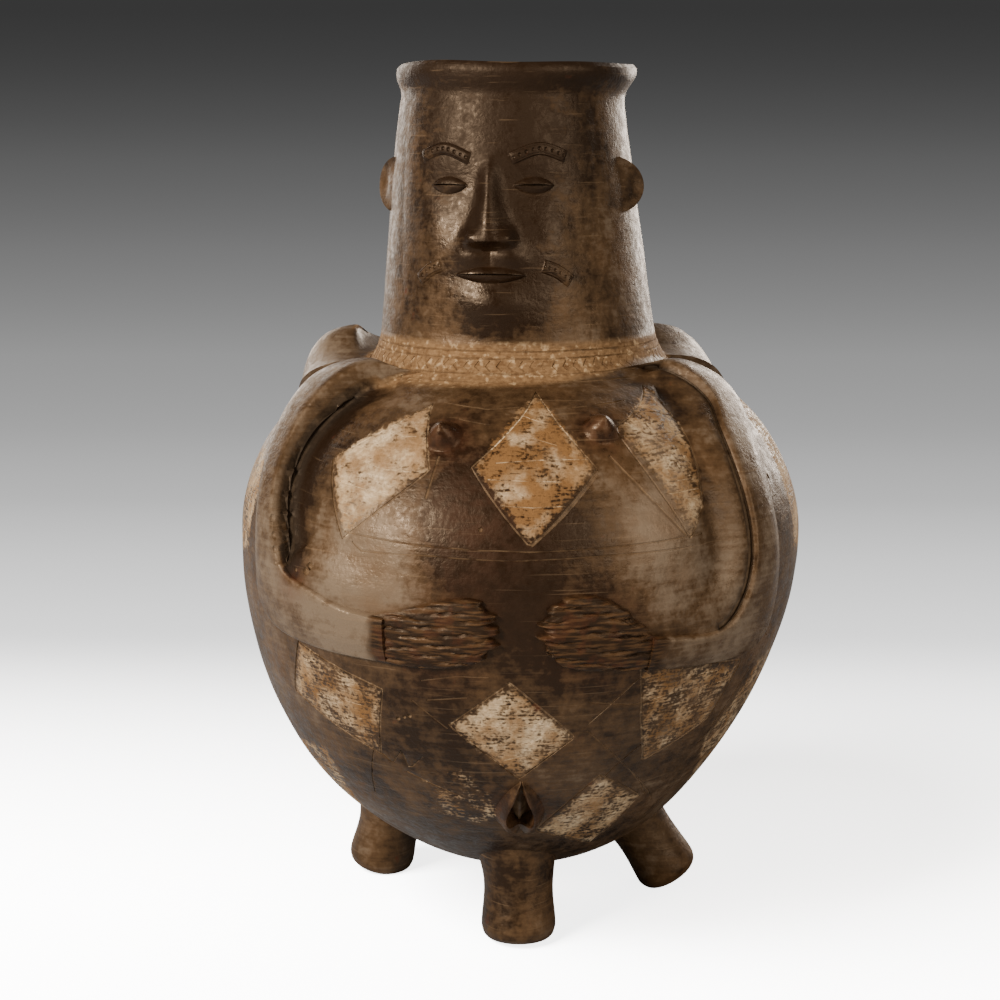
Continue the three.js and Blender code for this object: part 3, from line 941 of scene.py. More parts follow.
@dataclass(frozen=True)
class Head:
    """The neck modelled as a head, on thirds between the chin and the hairline, in eye widths across."""

    outline: Outline
    turn: float = -10.0
    chin_above_collar: float = 11.0
    hairline_below_rim: float = 13.0
    eye: float = 21.5
    proud: float = 1.6
    edge: float = -0.6
    nose_proud: float = 9.0
    lip_pad_proud: float = 3.4
    chin_proud: float = 3.0
    cheek_proud: float = 1.8
    eye_proud: float = 2.6
    lips_proud: float = 2.8
    eye_line: float = 0.58
    mouth_line: float = 0.2
    slit_width: float = 1.3
    slit_depth: float = 2.4
    band_proud: float = 1.5
    ear_height: float = 27.0
    ear_depth: float = 17.0
    ear_proud: float = 8.0
    ear_azimuth: float = 76.0
    root: float = 3.0

    @property
    def chin(self) -> float:
        """Height of the chin."""
        return self.outline.collar_top + self.chin_above_collar

    @property
    def tall(self) -> float:
        """Height from the chin to the hairline."""
        return self.outline.height - self.hairline_below_rim - self.chin

    def place(self, across: Array, share: Array) -> tuple[Array, Array]:
        """Azimuth and height at millimetres from the nose line and a share of the face's height."""
        z = self.chin + share * self.tall
        return self.turn + np.degrees(across / self.outline.skin(z)[0]), z

    def relief(self, across: Array, share: Array) -> Array:
        """Height of the modelled face above the neck's skin.

        Args:
            across: Millimetres from the nose line.
            share: Shares of the face's height.

        Returns:
            The heights.
        """
        x = across / self.eye
        side = np.abs(x)
        base = self.proud * (1 - (x / 2.6) ** 4 - ((share - 0.5) / 0.55) ** 6)
        bridge = smoothstep(share, 0.3, 0.345) * (1 - smoothstep(share, 0.6, 0.74))
        half = lerp(0.42, 0.2, smoothstep(share, 0.33, 0.6))
        fall = lerp(1, 0.45, smoothstep(share, 0.35, 0.68))
        nose = self.nose_proud * fall * bridge * np.exp(-((x / half) ** 2))
        wings = 0.35 * self.nose_proud * bump(side - 0.42, share - 0.36, 0.16, 0.035)
        pad = self.lip_pad_proud * bump(side - 0.42, share - 0.285, 0.42, 0.06)
        chin = self.chin_proud * bump(x, share - 0.08, 0.7, 0.09)
        cheek = self.cheek_proud * bump(side - 1.35, share - 0.37, 0.55, 0.13)
        socket = 1.3 * bump(side - 1, share - self.eye_line, 0.6, 0.06)
        return np.maximum(base + nose + wings + pad + chin + cheek - socket, self.edge)

    def face(self) -> Form:
        """The modelled front of the head.

        Returns:
            The closed form.
        """
        reach = 2.75 * self.eye

        def across(v: Array) -> Array:
            """Millimetres from the nose line, closer together near it."""
            return reach * np.sign(v - 0.5) * np.abs(2 * v - 1) ** 1.25

        def up(u: Array) -> Array:
            """Share of the face's height."""
            return lerp(-0.08, 1.06, u)

        return laid(self.outline, lambda u, v: self.place(across(v), up(u)),
                    lambda u, v: self.relief(across(v), up(u)), np.linspace(0, 1, 91), np.linspace(0, 1, 97), self.root)

    def slitted_lens(self, across: float, share: float, width: float, tall: float, proud: float) -> tuple[Form, Form]:
        """A closed eye or a closed mouth.

        Args:
            across: Its centre, from the nose line.
            share: Its centre, up the face.
            width: How wide it is.
            tall: How tall it is.
            proud: How far it swells.

        Returns:
            The swelling, and the slit to cut in it.
        """

        def half(u: Array) -> Array:
            """Half its height, as a share of the face's."""
            return 0.5 * tall * np.maximum(np.sin(np.pi * u) ** 0.7, 0.08) / self.tall

        def along(u: Array) -> Array:
            """Millimetres from the nose line."""
            return across + lerp(-0.5, 0.5, u) * width

        def rise(u: Array, v: Array) -> Array:
            """Height above the neck's skin."""
            swell = np.maximum(np.sin(np.pi * u), 0) ** 0.5 * (1 - 0.95 * (2 * v - 1) ** 2)
            return self.relief(along(u), share + lerp(-1, 1, v) * half(u)) + proud * swell

        steps = np.linspace(0, 1, 25)
        body = laid(self.outline, lambda u, v: self.place(along(u), share + lerp(-1, 1, v) * half(u)), rise,
                    steps, np.linspace(0, 1, 13), self.root)
        floor = float(self.relief(np.array(across), np.array(share))) + proud - self.slit_depth
        gap = 0.5 * self.slit_width / self.tall
        cut = laid(self.outline, lambda u, v: self.place(along(lerp(0.04, 0.96, u)), share + lerp(-gap, gap, v)
                                                         * np.maximum(np.sin(np.pi * u), 0.25)),
                   lambda u, v: floor + 4 * self.slit_depth + 0 * u, steps, np.array([0, 1]), -floor)
        return body, cut

    def band_path(self, points: Sequence[tuple[float, float]], side: float, off: float = 0) -> Callable[[Array], Array]:
        """A path across the face, beside a line through given points.

        Args:
            points: The line, in eye widths across and shares up.
            side: 1 for one side of the face, -1 for the other.
            off: How far beside the line, in millimetres.

        Returns:
            A function from places along it to millimetres across and shares up.
        """
        line = [(side * x * self.eye, y) for x, y in points]

        def path(u: Array) -> Array:
            """Places along it."""
            p = spline(line, u)
            t = spline(line, np.minimum(u + 0.02, 1)) - spline(line, np.maximum(u - 0.02, 0))
            slope = np.stack([t[..., 0], t[..., 1] * self.tall], -1)
            slope /= np.linalg.norm(slope, axis=-1, keepdims=True)
            shift = np.asarray(off)[..., None]
            return p + np.concatenate([-slope[..., 1:] * shift, slope[..., :1] * shift / self.tall], -1)

        return path

    def band(self, points: Sequence[tuple[float, float]], side: float, wide: float) -> Form:
        """A raised band on the brow or the cheek.

        Args:
            points: Its line.
            side: Which side of the face.
            wide: Its width.

        Returns:
            The closed form.
        """

        def at(u: Array, v: Array) -> Array:
            """Millimetres across and share up."""
            return self.band_path(points, side, lerp(-0.5, 0.5, v) * wide)(u)

        def rise(u: Array, v: Array) -> Array:
            """Height above the neck's skin."""
            p = at(u, v)
            return self.relief(p[..., 0], p[..., 1]) + self.band_proud * rounded(v, 0.45) * rounded(u, 0.2) - 0.2

        def place(u: Array, v: Array) -> tuple[Array, Array]:
            """Azimuth and height."""
            p = at(u, v)
            return self.place(p[..., 0], p[..., 1])

        return laid(self.outline, place, rise, np.linspace(0, 1, 25), np.linspace(0, 1, 11), self.root)

    def band_marks(self, points: Sequence[tuple[float, float]], side: float, wide: float,
                   pricks: int) -> tuple[list[Array], Array]:
        """The two scored lines of a band, and the pricks between them.

        Args:
            points: The band's line.
            side: Which side of the face.
            wide: The band's width.
            pricks: How many pricks it has.

        Returns:
            The lines and the points of the pricks, in millimetres.
        """
        lines = []
        for off in (-0.34 * wide, 0.34 * wide):
            p = self.band_path(points, side, off)(np.linspace(0.06, 0.94, 24))
            high = self.relief(p[:, 0], p[:, 1]) + self.band_proud - 0.3
            lines.append(self.outline.point(*self.place(p[:, 0], p[:, 1]), high))
        p = self.band_path(points, side)(np.linspace(0.1, 0.9, pricks))
        high = self.relief(p[:, 0], p[:, 1]) + self.band_proud
        return lines, self.outline.point(*self.place(p[:, 0], p[:, 1]), high)

    def ear(self, side: float) -> Form:
        """A half-moon ear, rising from the cheek to a free rear edge with a shallow hollow.

        Args:
            side: Which side of the head.

        Returns:
            The closed form.
        """
        centre = self.chin + self.eye_line * self.tall
        depth = float(np.degrees(self.ear_depth / self.outline.skin(np.array(centre))[0]))

        def moon(u: Array) -> Array:
            """Its reach along its height."""
            return np.maximum(np.maximum(np.sin(np.pi * u), 0) ** 0.6, 0.1)

        def place(u: Array, v: Array) -> tuple[Array, Array]:
            """Azimuth and height."""
            azimuth = self.turn + side * (self.ear_azimuth - 0.5 * depth + v * depth * moon(u))
            return azimuth, centre + lerp(-0.5, 0.5, u) * self.ear_height

        def rise(u: Array, v: Array) -> Array:
            """Height above the neck's skin."""
            rim = self.ear_proud * moon(u) * v**1.4 * rounded(lerp(0.5, 1, v), 0.06)
            hollow = 1.6 * bump(u - 0.5, v - 0.62, 0.26, 0.2)
            return rim - hollow * moon(u) - 0.3 + 0.6 * v

        return laid(self.outline, place, rise, np.linspace(0, 1, 31), edge_packed(20, 1.3), self.root)


BROW = ((0.45, 0.69), (1.1, 0.735), (1.75, 0.7))
CHEEK_BAND = ((1.15, 0.24), (1.5, 0.215), (1.85, 0.17))


@dataclass(frozen=True)
class Foot:
    """A stub leg standing on a worn flat sole."""

    azimuth: float
    from_axis: float
    splay: float
    radius: float
    length: float = 62.0
    waist: float = 0.95
    sole_wear: float = 2.2

    def piece(self, turning: Turning) -> Piece:
        """The leg, splayed outwards and stood on the floor.

        Args:
            turning: What turns it.

        Returns:
            The closed piece.
        """
        sole = [(0, 0), (0.7, 0.02), (0.9, 0.1), (0.98, 0.26), (1, 0.5)]
        points = [(x * self.radius, y * self.radius) for x, y in sole]
        points += [(self.waist * self.radius, 0.5 * self.length), (1.25 * self.radius, self.length)]
        line = spline(points, np.linspace(0, 1, 37))
        line[0, 0] = 0
        leg = turning.turn(f"foot {self.azimuth:g}", np.concatenate([line, [(0, self.length)]]), 32)
        leg.data.transform(Matrix.Rotation(math.radians(-self.splay), 4, "X"))
        low = min(v.co.z for v in leg.data.vertices)
        leg.data.transform(Matrix.Translation((0, -self.from_axis * MM, -low - self.sole_wear * MM)))
        leg.data.transform(Matrix.Rotation(math.radians(self.azimuth), 4, "Z"))
        return leg


FEET = (Foot(0, 69, 8, 19.5), Foot(89, 86, 31, 17.5), Foot(180, 76, 10, 18.5), Foot(-104, 83, 13, 18.5))


@dataclass(frozen=True)
class Lozenge:
    """A painted lozenge, mostly inside an incised outline and scratched across."""

    corners: tuple[tuple[float, float], ...]
    ochre: float = 0.3
    wear: float = 0.35
    scratches: int = 3
    incised: bool = True

    def across(self, z: float) -> tuple[float, float]:
        """Azimuths of its two edges at a height.

        Args:
            z: The height.

        Returns:
            The lower and the higher azimuth.
        """
        after = self.corners[1:] + self.corners[:1]
        hits = [a + (z - low) / (high - low) * (b - a)
                for (a, low), (b, high) in zip(self.corners, after) if (low > z) != (high > z)]
        return min(hits), max(hits)

    def strokes(self, rng: np.random.Generator) -> list[list[tuple[float, float]]]:
        """Its level scratches, none of which meet.

        Args:
            rng: Where the strays come from.

        Returns:
            Three places for each scratch.
        """
        levels = [z for _, z in self.corners]
        pitch = (max(levels) - min(levels)) / (self.scratches + 1)
        found = []
        for k in range(self.scratches):
            z = min(levels) + pitch * (k + 1 + rng.uniform(-0.15, 0.15))
            left, right = self.across(z)
            start, end = rng.uniform(-0.05, 0.25), rng.uniform(0.72, 1.05)
            lean = rng.uniform(-0.22, 0.22, 3) * pitch
            found.append([(lerp(left, right, t), z + dz) for t, dz in zip((start, 0.5 * (start + end), end), lean)])
        return found


LOZENGES = (
    Lozenge(((5, 290), (15, 261), (2, 230), (-9, 262)), ochre=0.72, wear=0.16, scratches=6),
    Lozenge(((-24, 285), (-19, 260), (-34, 228), (-42, 261)), ochre=0.22, wear=0.06, scratches=4),
    Lozenge(((42, 290), (23, 276), (33, 229), (38, 243), (42, 277)), ochre=0.42, wear=0.3, scratches=14),
    Lozenge(((-1, 162), (12, 133), (2, 110), (-12, 139)), ochre=0.3, wear=0.22, scratches=4),
    Lozenge(((-47, 168), (-27, 154), (-30, 118), (-52, 140)), ochre=0.5, wear=0.4, scratches=5),
    Lozenge(((24, 168), (50, 158), (46, 130), (31, 114), (27, 138)), ochre=0.45, wear=0.46, scratches=5),
    Lozenge(((21, 106), (36, 86), (28, 55), (8, 72)), ochre=0.3, wear=0.36, scratches=3),
    Lozenge(((-11, 115), (-1, 88), (-7, 76), (-22, 84), (-20, 104)), ochre=0.4, wear=0.76, scratches=0, incised=False),
    Lozenge(((-69, 101), (-66, 87), (-62, 72), (-55, 58), (-48, 91), (-49, 109)), ochre=0.4, wear=0.42, incised=False),
    Lozenge(((74, 153), (71, 127), (69, 105), (63, 74), (50, 115), (56, 137), (60, 152)), ochre=0.4, wear=0.42,
            incised=False),
    Lozenge(((76, 285), (71, 262), (69, 236), (70, 206), (80, 200), (96, 225), (98, 270), (90, 288)), ochre=0.35,
            wear=0.2, scratches=0, incised=False),
    Lozenge(((-64, 250), (-68, 206), (-78, 200), (-90, 226), (-84, 256)), ochre=0.3, wear=0.32, incised=False),
    Lozenge(((104, 172), (116, 140), (104, 112), (94, 142)), ochre=0.4, wear=0.45),
    Lozenge(((-104, 172), (-94, 142), (-106, 112), (-118, 142)), ochre=0.35, wear=0.45),
)
NUBS = ((-17, 273.8), (19, 276.3))
COLLAR_EDGE = ((-180, 293.5), (-70, 292), (-64, 290.5), (-54, 290), (-46, 292), (-25, 292.5), (0, 293.5), (17, 295),
               (36, 298), (54, 302), (72, 300), (90, 294), (180, 293.5))
CHEST_VEES = (((19, 266), (26, 246), (32, 229)), ((16, 260), (9, 244), (2, 229)), ((-17, 266), (-18, 248)))
BELTS = (
    ((-34, 230), (-20, 228), (2, 226.5), (18, 227.5), (36, 229)),
    ((-32, 226), (-30, 222.5), (-16, 223.5), (-2, 222.5), (14, 223.8), (33, 224)),
    ((-21, 287), (-8, 285), (0, 286)), ((8, 285), (20, 286), (30, 287)), ((-15, 281), (-7, 279)),
)
BELLY_LINES = (
    ((-18, 162), (-11, 166), (-5, 166)), ((-17, 152), (-9, 155)), ((-20, 151), (-13, 137)),
    ((24, 163), (15, 140)), ((19, 127), (25, 115), (38, 87)), ((-38, 40), (-26, 37), (-14, 34)),
    ((-24, 108), (-12, 96)), ((52, 176), (60, 166)),
)
CROSS_LINES = (
    ((-29, 117), (-27, 112), (-24, 121), (-23, 110), (-19, 119)), ((-31, 119), (-37, 88)),
    ((15, 136), (25, 114), (43, 80)), ((56, 150), (48, 112)),
)
LAST_LINES = (((29, 125), (25, 115), (22, 106)), ((14, 152), (24, 148), (33, 151)))
SMALL_PITS = ((-44, 208.5), (-22, 141), (-23.4, 139.6), (-20.8, 142), (43, 289), (43, 286), (38, 263), (37, 255),
              (59, 283), (-66, 253), (9, 180), (-7, 236), (14, 196), (-30, 190), (62, 246))
LARGE_PITS = ((-41.3, 209), (-40.6, 211.5))
CHIPS = ((-51.6, 229), (-50.2, 222), (-49.3, 216), (-48.5, 210.5))


@dataclass(frozen=True)
class StainAndHighlight:
    """A broad area that is darker or paler than the rest, more or less polished, or redder: mostly stains in the clay,
    in places partly a painted highlight.
    """

    azimuth: float
    z: float
    reach: float
    tone: float
    polish: float = 0.2
    red: float = 0.0


# Mostly stains in the clay. The pale polished patches on the left chest (-27, 215) and at the left wrist (-28, 182) are
# partly painted highlights.
STAINS_AND_HIGHLIGHTS = (
    StainAndHighlight(-6, 412, 42, -1.5, -0.8), StainAndHighlight(-10, 333, 34, -0.8, 0.5), StainAndHighlight(-10, 372, 36, -0.5, 0.5),
    StainAndHighlight(2, 213, 42, -0.95), StainAndHighlight(-9, 240, 28, -1.7, -0.5, 0.3), StainAndHighlight(-27, 215, 27, 1.5, 1.1),
    StainAndHighlight(30, 222, 34, 0.95, 0.5), StainAndHighlight(-16, 132, 34, -0.6), StainAndHighlight(14, 136, 26, -0.35),
    StainAndHighlight(20, 60, 44, -0.4), StainAndHighlight(-30, 60, 44, -0.5), StainAndHighlight(-60, 385, 36, -0.1, 0.1),
    StainAndHighlight(40, 360, 34, 0.2, 0.2), StainAndHighlight(-30, 345, 26, 0.35, 0.3), StainAndHighlight(-68, 268, 40, -0.2, 0.1),
    StainAndHighlight(-42, 184, 24, 0.3, 0.5), StainAndHighlight(-28, 182, 14, 0.3, 1.3), StainAndHighlight(58, 250, 34, -0.15, 0.2),
    StainAndHighlight(38, 184, 26, 0.1, 0.5), StainAndHighlight(0, 12, 30, -0.6), StainAndHighlight(89, 12, 30, -0.7), StainAndHighlight(-104, 12, 30, -0.7),
    StainAndHighlight(-17, 274, 12, -0.9, 1.2, 0.6), StainAndHighlight(19, 276, 12, -0.9, 1.2, 0.6),
    StainAndHighlight(2.8, 90, 13, -0.35, 0.4, 0.5), StainAndHighlight(-45, 200, 9, 0, 0.2, 0.8), StainAndHighlight(-14, 186, 22, -0.5, 0.5, 0.4),
    StainAndHighlight(15, 186, 22, -0.6, 0.4, 0.4), StainAndHighlight(-24, 300, 26, 0.3), StainAndHighlight(26, 258, 30, 0.3, 0.4),
    StainAndHighlight(-46, 262, 22, -0.35, 0.4),
)


@dataclass
class Clay:
    """The pot in one piece: its forms, its incised work and what its surface carries."""

    outline: Outline
    turning: Turning
    stylus: Stylus
    columns: int = 230
    rows: int = 182
    cavity_columns: int = 72
    sharp_angle: float = 42.0
    low_lift: float = 1.2
    shadow_reach: float = 12.0
    wrist: tuple[float, float] = (25.8, 27.2)
    hand_levels: tuple[float, float, float, float] = (150, 158, 214, 220)
    unpainted: float = -12.0
    rays: int = 10
    dirt_reach: float = 14.0
    lean: tuple[tuple[float, float], ...] = (
        (0.06, 0), (0.19, -5), (0.47, 0), (0.58, 0), (0.95, -4.3), (1, -2))

    def body(self) -> Piece:
        """The turned belly and neck, closed across the mouth, with the belly's modelling.

        Returns:
            The closed piece.
        """
        line = np.concatenate([self.outline.spaced(self.rows), [(0, self.outline.height)]])
        pot = self.turning.turn("vessel_clay", line, self.columns)
        at = corners_of(pot)
        azimuth, z, above = self.outline.unroll(at)
        on_skin = (np.abs(above) < 1) & (at[:, 2] < self.outline.collar_foot)
        relief = np.where(on_skin, Skin(self.outline).relief(azimuth, z), 0)
        _, out, up = self.outline.skin(z)
        turn = np.radians(azimuth)
        push = np.stack([out * np.sin(turn), -out * np.cos(turn), up], -1) * relief[:, None]
        put_corners(pot, at + push)
        return pot

    def cavity(self) -> Piece:
        """The hollow inside, with a rounded mouth.

        Returns:
            The closed cutter.
        """
        shape = self.outline
        line = shape.spaced(60)
        _, out, up = shape.skin(line[:, 1])
        inner = np.stack([line[:, 0] - shape.wall * out, line[:, 1] - shape.wall * up], axis=1)
        inner[0] = (0, shape.belly_bottom + shape.wall)
        keep = (inner[:, 1] < shape.height - shape.lip_height - 4) & (inner[:, 0] >= 0)
        mouth = shape.neck_top_radius + shape.lip_flare - shape.lip_thickness
        throat = shape.neck_top_radius - shape.wall
        rim = bezier([(throat, shape.height - 0.8 * shape.lip_height), (throat + 3, shape.height - 9),
                      (mouth - 0.8, shape.height - 7), (mouth, shape.height - 2.4)], 8)
        flare = bezier([(mouth, shape.height - 2.4), (mouth + 0.2, shape.height - 0.7), (mouth + 1.3, shape.height)], 5)
        top = [(mouth + 1.4, shape.height + shape.wall), (0, shape.height + shape.wall)]
        return self.turning.turn("cavity", np.concatenate([inner[keep], rim, flare[1:], top]), self.cavity_columns)

    def nub(self, azimuth: float, z: float) -> Form:
        """A small blunt cone on the chest.

        Args:
            azimuth: Where it is around the pot.
            z: Its height.

        Returns:
            The closed form.
        """
        reach, rise = 10.0, 10.0
        radius, out, _ = self.outline.skin(np.array(z))

        def disc(u: Array, v: Array) -> tuple[Array, Array]:
            """A square's places, drawn in to a disc."""
            x, y = 2 * u - 1, 2 * v - 1
            return x * np.sqrt(1 - y * y / 2), y * np.sqrt(1 - x * x / 2)

        def place(u: Array, v: Array) -> tuple[Array, Array]:
            """Azimuth and height."""
            x, y = disc(u, v)
            return azimuth + np.degrees(reach * x / radius), z + reach * y * out

        def cone(u: Array, v: Array) -> Array:
            """Height above the skin."""
            rho = np.hypot(*disc(u, v))
            flank = (1 - rho) ** 1.15 / (0.22 + 0.78 * (1 - rho) ** 0.4 + 1e-9)
            return rise * flank * smoothstep(1.02 - rho, 0, 0.5) - 0.3

        steps = np.linspace(0, 1, 25)
        return laid(self.outline, place, cone, steps, steps, 3)

    def boss(self) -> tuple[Form, Form]:
        """A raised drop low on the belly, and the pit in it with a tongue up its middle.

        Returns:
            The drop and the pit.
        """
        azimuth, low, high, width, proud = 2.8, 73.5, 107.0, 26.0, 5.2
        radius = self.outline.skin(np.array(90.0))[0]

        def drop(wide: float, bottom: float, top: float) -> Place:
            """Places in a drop that points upwards."""

            def place(u: Array, v: Array) -> tuple[Array, Array]:
                """Azimuth and height."""
                half = 0.5 * wide * np.maximum(np.maximum(np.sin(np.pi * u**0.6), 0) ** 0.8, 0.06)
                return azimuth + np.degrees(lerp(-half, half, v) / radius), lerp(bottom, top, u)

            return place

        def lips(u: Array, v: Array) -> Array:
            """Height above the skin, highest along both sides of the pit."""
            side = np.exp(-(((np.abs(2 * v - 1) - 0.5) / 0.3) ** 2)) + 0.35
            return proud * np.maximum(np.sin(np.pi * u**0.7), 0) ** 0.5 * side * rounded(v, 0.2) - 0.2

        def deep(u: Array, v: Array) -> Array:
            """Depth of the pit below the skin."""
            tongue = np.exp(-(((v - 0.5) / 0.22) ** 2)) * (1 - smoothstep(u, 0.45, 0.75))
            return 3.6 * (1 - 0.9 * tongue)

        body = laid(self.outline, drop(width, low, high), lips, np.linspace(0, 1, 37), np.linspace(0, 1, 29), 3)
        cut = laid(self.outline, drop(0.52 * width, low + 6, high - 5), lambda u, v: 2 * proud + 0 * u,
                   np.linspace(0, 1, 25), np.linspace(0, 1, 17), deep)
        return body, cut

    def forms(self) -> list[Piece]:
        """Everything that is laid on the pot.

        Returns:
            The closed pieces.
        """
        found = [foot.piece(self.turning) for foot in FEET]
        for k, arm in enumerate(ARMS):
            found.append(arm.limb(self.outline).piece(arm.name))
            found.append(arm.hand(self.outline, fine=k < 2).piece(arm.name + " hand"))
        head = Head(self.outline)
        found.append(head.face().piece("face"))
        for side in (-1, 1):
            found.append(head.ear(side).piece("ear"))
            found.append(head.band(BROW, side, 6.5).piece("brow band"))
            found.append(head.band(CHEEK_BAND, side, 7).piece("cheek band"))
        found += [self.nub(azimuth, z).piece("nub") for azimuth, z in NUBS]
        return found

    def slits(self) -> tuple[list[Piece], list[Piece]]:
        """The eyes, the mouth and the boss, and the slit in each.

        Returns:
            The pieces, and their cutters.
        """
        head = Head(self.outline)
        bodies, cuts = [], []
        for name, across, share, width, tall, proud in (
            ("left eye", -head.eye, head.eye_line, 0.95 * head.eye, 8.5, head.eye_proud),
            ("right eye", head.eye, head.eye_line, 0.95 * head.eye, 8.5, head.eye_proud),
            ("mouth", 0, head.mouth_line, 1.6 * head.eye, 8, head.lips_proud),
        ):
            body, cut = head.slitted_lens(across, share, width, tall, proud)
            bodies.append(body.piece(name))
            cuts.append(cut.piece(name + " slit"))
        body, cut = self.boss()
        return bodies + [body.piece("boss")], cuts + [cut.piece("boss pit")]

    def incised(self) -> list[Piece]:
        """The cutters for all the scored lines and pricks, in sets whose lines don't cross.

        Returns:
            The closed cutters.
        """
        skin = Skin(self.outline)
        head = Head(self.outline)
        rng = np.random.default_rng(SEED)
        frames = [skin.trace(grown(one.corners, 1.6), 0.15, closed=True) for one in LOZENGES if one.incised]
        scratches = [skin.trace(stroke, 0.12) for one in LOZENGES for stroke in one.strokes(rng)]
        rings = [[(a, z) for a in np.linspace(-180, 180, 73)] for z in (294.6, 298.2, 305.2, 308.6)]
        ticks = [[(a, 304.2), (a - 1.6, 301.6), (a + 0.4, 299.4)] for a in np.arange(-150, 150, 4.1)]
        cutters = [
            self.stylus.draw("cracks", skin.cracks(), 3.2, wobble=0.4),
            self.stylus.draw("lozenge frames a", frames[0::2], 1.4),
            self.stylus.draw("lozenge frames b", frames[1::2], 1.4),
            self.stylus.draw("lozenge scratches", scratches, 0.9, wobble=0.7),
            self.stylus.draw("collar rings", [skin.trace(r, 0.1) for r in rings], 1.1, wobble=0.9),
            self.stylus.draw("collar ticks", [skin.trace(t, 0.05) for t in ticks], 0.9, wobble=1.2),
        ]
        sets = {"chest vees": (CHEST_VEES, 2.6, 0.7), "belts": (BELTS, 1.2, 0.2),
                "belly lines": (BELLY_LINES, 1.2, 0.2), "crossing lines": (CROSS_LINES, 1.2, 0.2),
                "last lines": (LAST_LINES, 1.2, 0.2)}
        for name, (lines, width, lift) in sets.items():
            cutters.append(self.stylus.draw(name, [skin.trace(line, lift) for line in lines], width))
        lines, points = [], []
        for side in (-1, 1):
            for path, wide, count in ((BROW, 6.5, 9), (CHEEK_BAND, 7, 6)):
                scored, holes = head.band_marks(path, side, wide, count)
                lines += scored
                points.append(holes)
        cutters.append(self.stylus.draw("band lines", lines, 1.2, wobble=0.2))
        cutters.append(self.stylus.prick("band pricks", np.concatenate(points), 2.0))
        for name, pits, width, lift in (("small pits", SMALL_PITS, 2.4, 0.2), ("large pits", LARGE_PITS, 4.4, 0.4),
                                        ("chips", CHIPS, 4.4, 5.6)):
            place = np.array(pits, float).T
            cutters.append(self.stylus.prick(name, self.outline.point(*place, skin.relief(*place) + lift), width))
        return cutters

    def build(self) -> Piece:
        """Join the forms, cut the hollow and the lines, and lean it as the pot leans.

        Returns:
            The finished mesh.
        """
        pot = self.body()
        bodies, cuts = self.slits()
        meet(pot, self.forms() + bodies, Meeting.JOIN)
        floor = bpy.data.meshes.new("floor cutter")
        size = 4 * self.outline.belly_radius * MM
        with edited(floor) as shape:
            bmesh.ops.create_cube(shape, size=size, matrix=Matrix.Translation((0, 0, -size / 2)))
        meet(pot, cuts + [self.cavity(), linked("floor cutter", floor)] + self.incised(), Meeting.CUT)
        with edited(pot.data) as shape:
            bmesh.ops.triangulate(shape, faces=shape.faces)
            bmesh.ops.dissolve_degenerate(shape, dist=0.5 * WELD, edges=shape.edges)
        self.mark(pot)
        self.shape_by_hand(pot)
        pot.data.shade_smooth()
        pot.data.set_sharp_from_angle(angle=math.radians(self.sharp_angle))
        self.mark_hollows(pot)
        return pot

    def shape_by_hand(self, pot: Piece) -> None:
        """Lean the pot, wave its rim and leave the low swells of hand building.

        Args:
            pot: The pot.
        """
        at = corners_of(pot)
        azimuth = np.arctan2(at[:, 0], -at[:, 1])
        share = at[:, 2] / self.outline.height
        swell = np.array([noise.noise(Vector(p) / 42) for p in at]) * 0.55
        swell += np.array([noise.noise(Vector(p) / 15) for p in at]) * 0.16
        swell -= 0.5 * (1 + np.sin(2 * azimuth + 9 * share))
        swell *= smoothstep(at[:, 2], 4, 40)
        swell = np.minimum(swell, 0)
        radius = np.hypot(at[:, 0], at[:, 1])
        at[:, :2] *= (1 + swell / np.maximum(radius, 20))[:, None]
        rim = smoothstep(at[:, 2], self.outline.height - 40, self.outline.height)
        at[:, 2] -= rim * (0.8 * (1 + np.sin(azimuth * 2 + 0.9)) + 0.35 * (1 + np.sin(azimuth * 5 + 2)))
        levels, shifts = np.array(self.lean).T
        part = np.clip(np.searchsorted(levels, share, side="right") - 1, 0, len(levels) - 2)
        step = np.clip((share - levels[part]) / (levels[part + 1] - levels[part]), 0, 1)
        at[:, 0] += lerp(shifts[part], shifts[part + 1], step * step * (3 - 2 * step))
        put_corners(pot, at)

    def mark(self, pot: Piece) -> None:
        """Write on the mesh where it is painted, scored, cracked, stained, polished and raw, and where it carries
        painted shadow and painted highlights.

        Args:
            pot: The pot.
        """
        at = corners_of(pot)
        azimuth, z, above = self.outline.unroll(at)
        skin = Skin(self.outline)
        foot = self.outline.collar_foot
        lift = above - np.where(z < foot, skin.relief(azimuth, z), 0)
        paint, ochre, wear = self.painted(azimuth, z, lift)
        values = {"paint_reach": paint, "paint_ochre": ochre, "paint_wear": wear,
                  "tone": np.zeros(len(at)), "polish": np.zeros(len(at)), "red": np.zeros(len(at))}
        for patch in STAINS_AND_HIGHLIGHTS:
            place = self.outline.point(np.array(patch.azimuth), np.array(patch.z), 0)
            near = np.exp(-((np.linalg.norm(at - place, axis=1) / patch.reach) ** 2))
            for name in ("tone", "polish", "red"):
                values[name] += getattr(patch, name) * near
        left, right = (self.from_line(at, crack_and_shadow) for crack_and_shadow in skin.cracks())
        low = lift < self.low_lift
        # Painted shadow: the chest beside the left arm's crack is darkened and roughened where the arm's shade falls.
        painted_shadow = np.exp(-((left / self.shadow_reach) ** 2)) * low
        values["tone"] -= 1.8 * painted_shadow
        values["polish"] -= 1.5 * painted_shadow
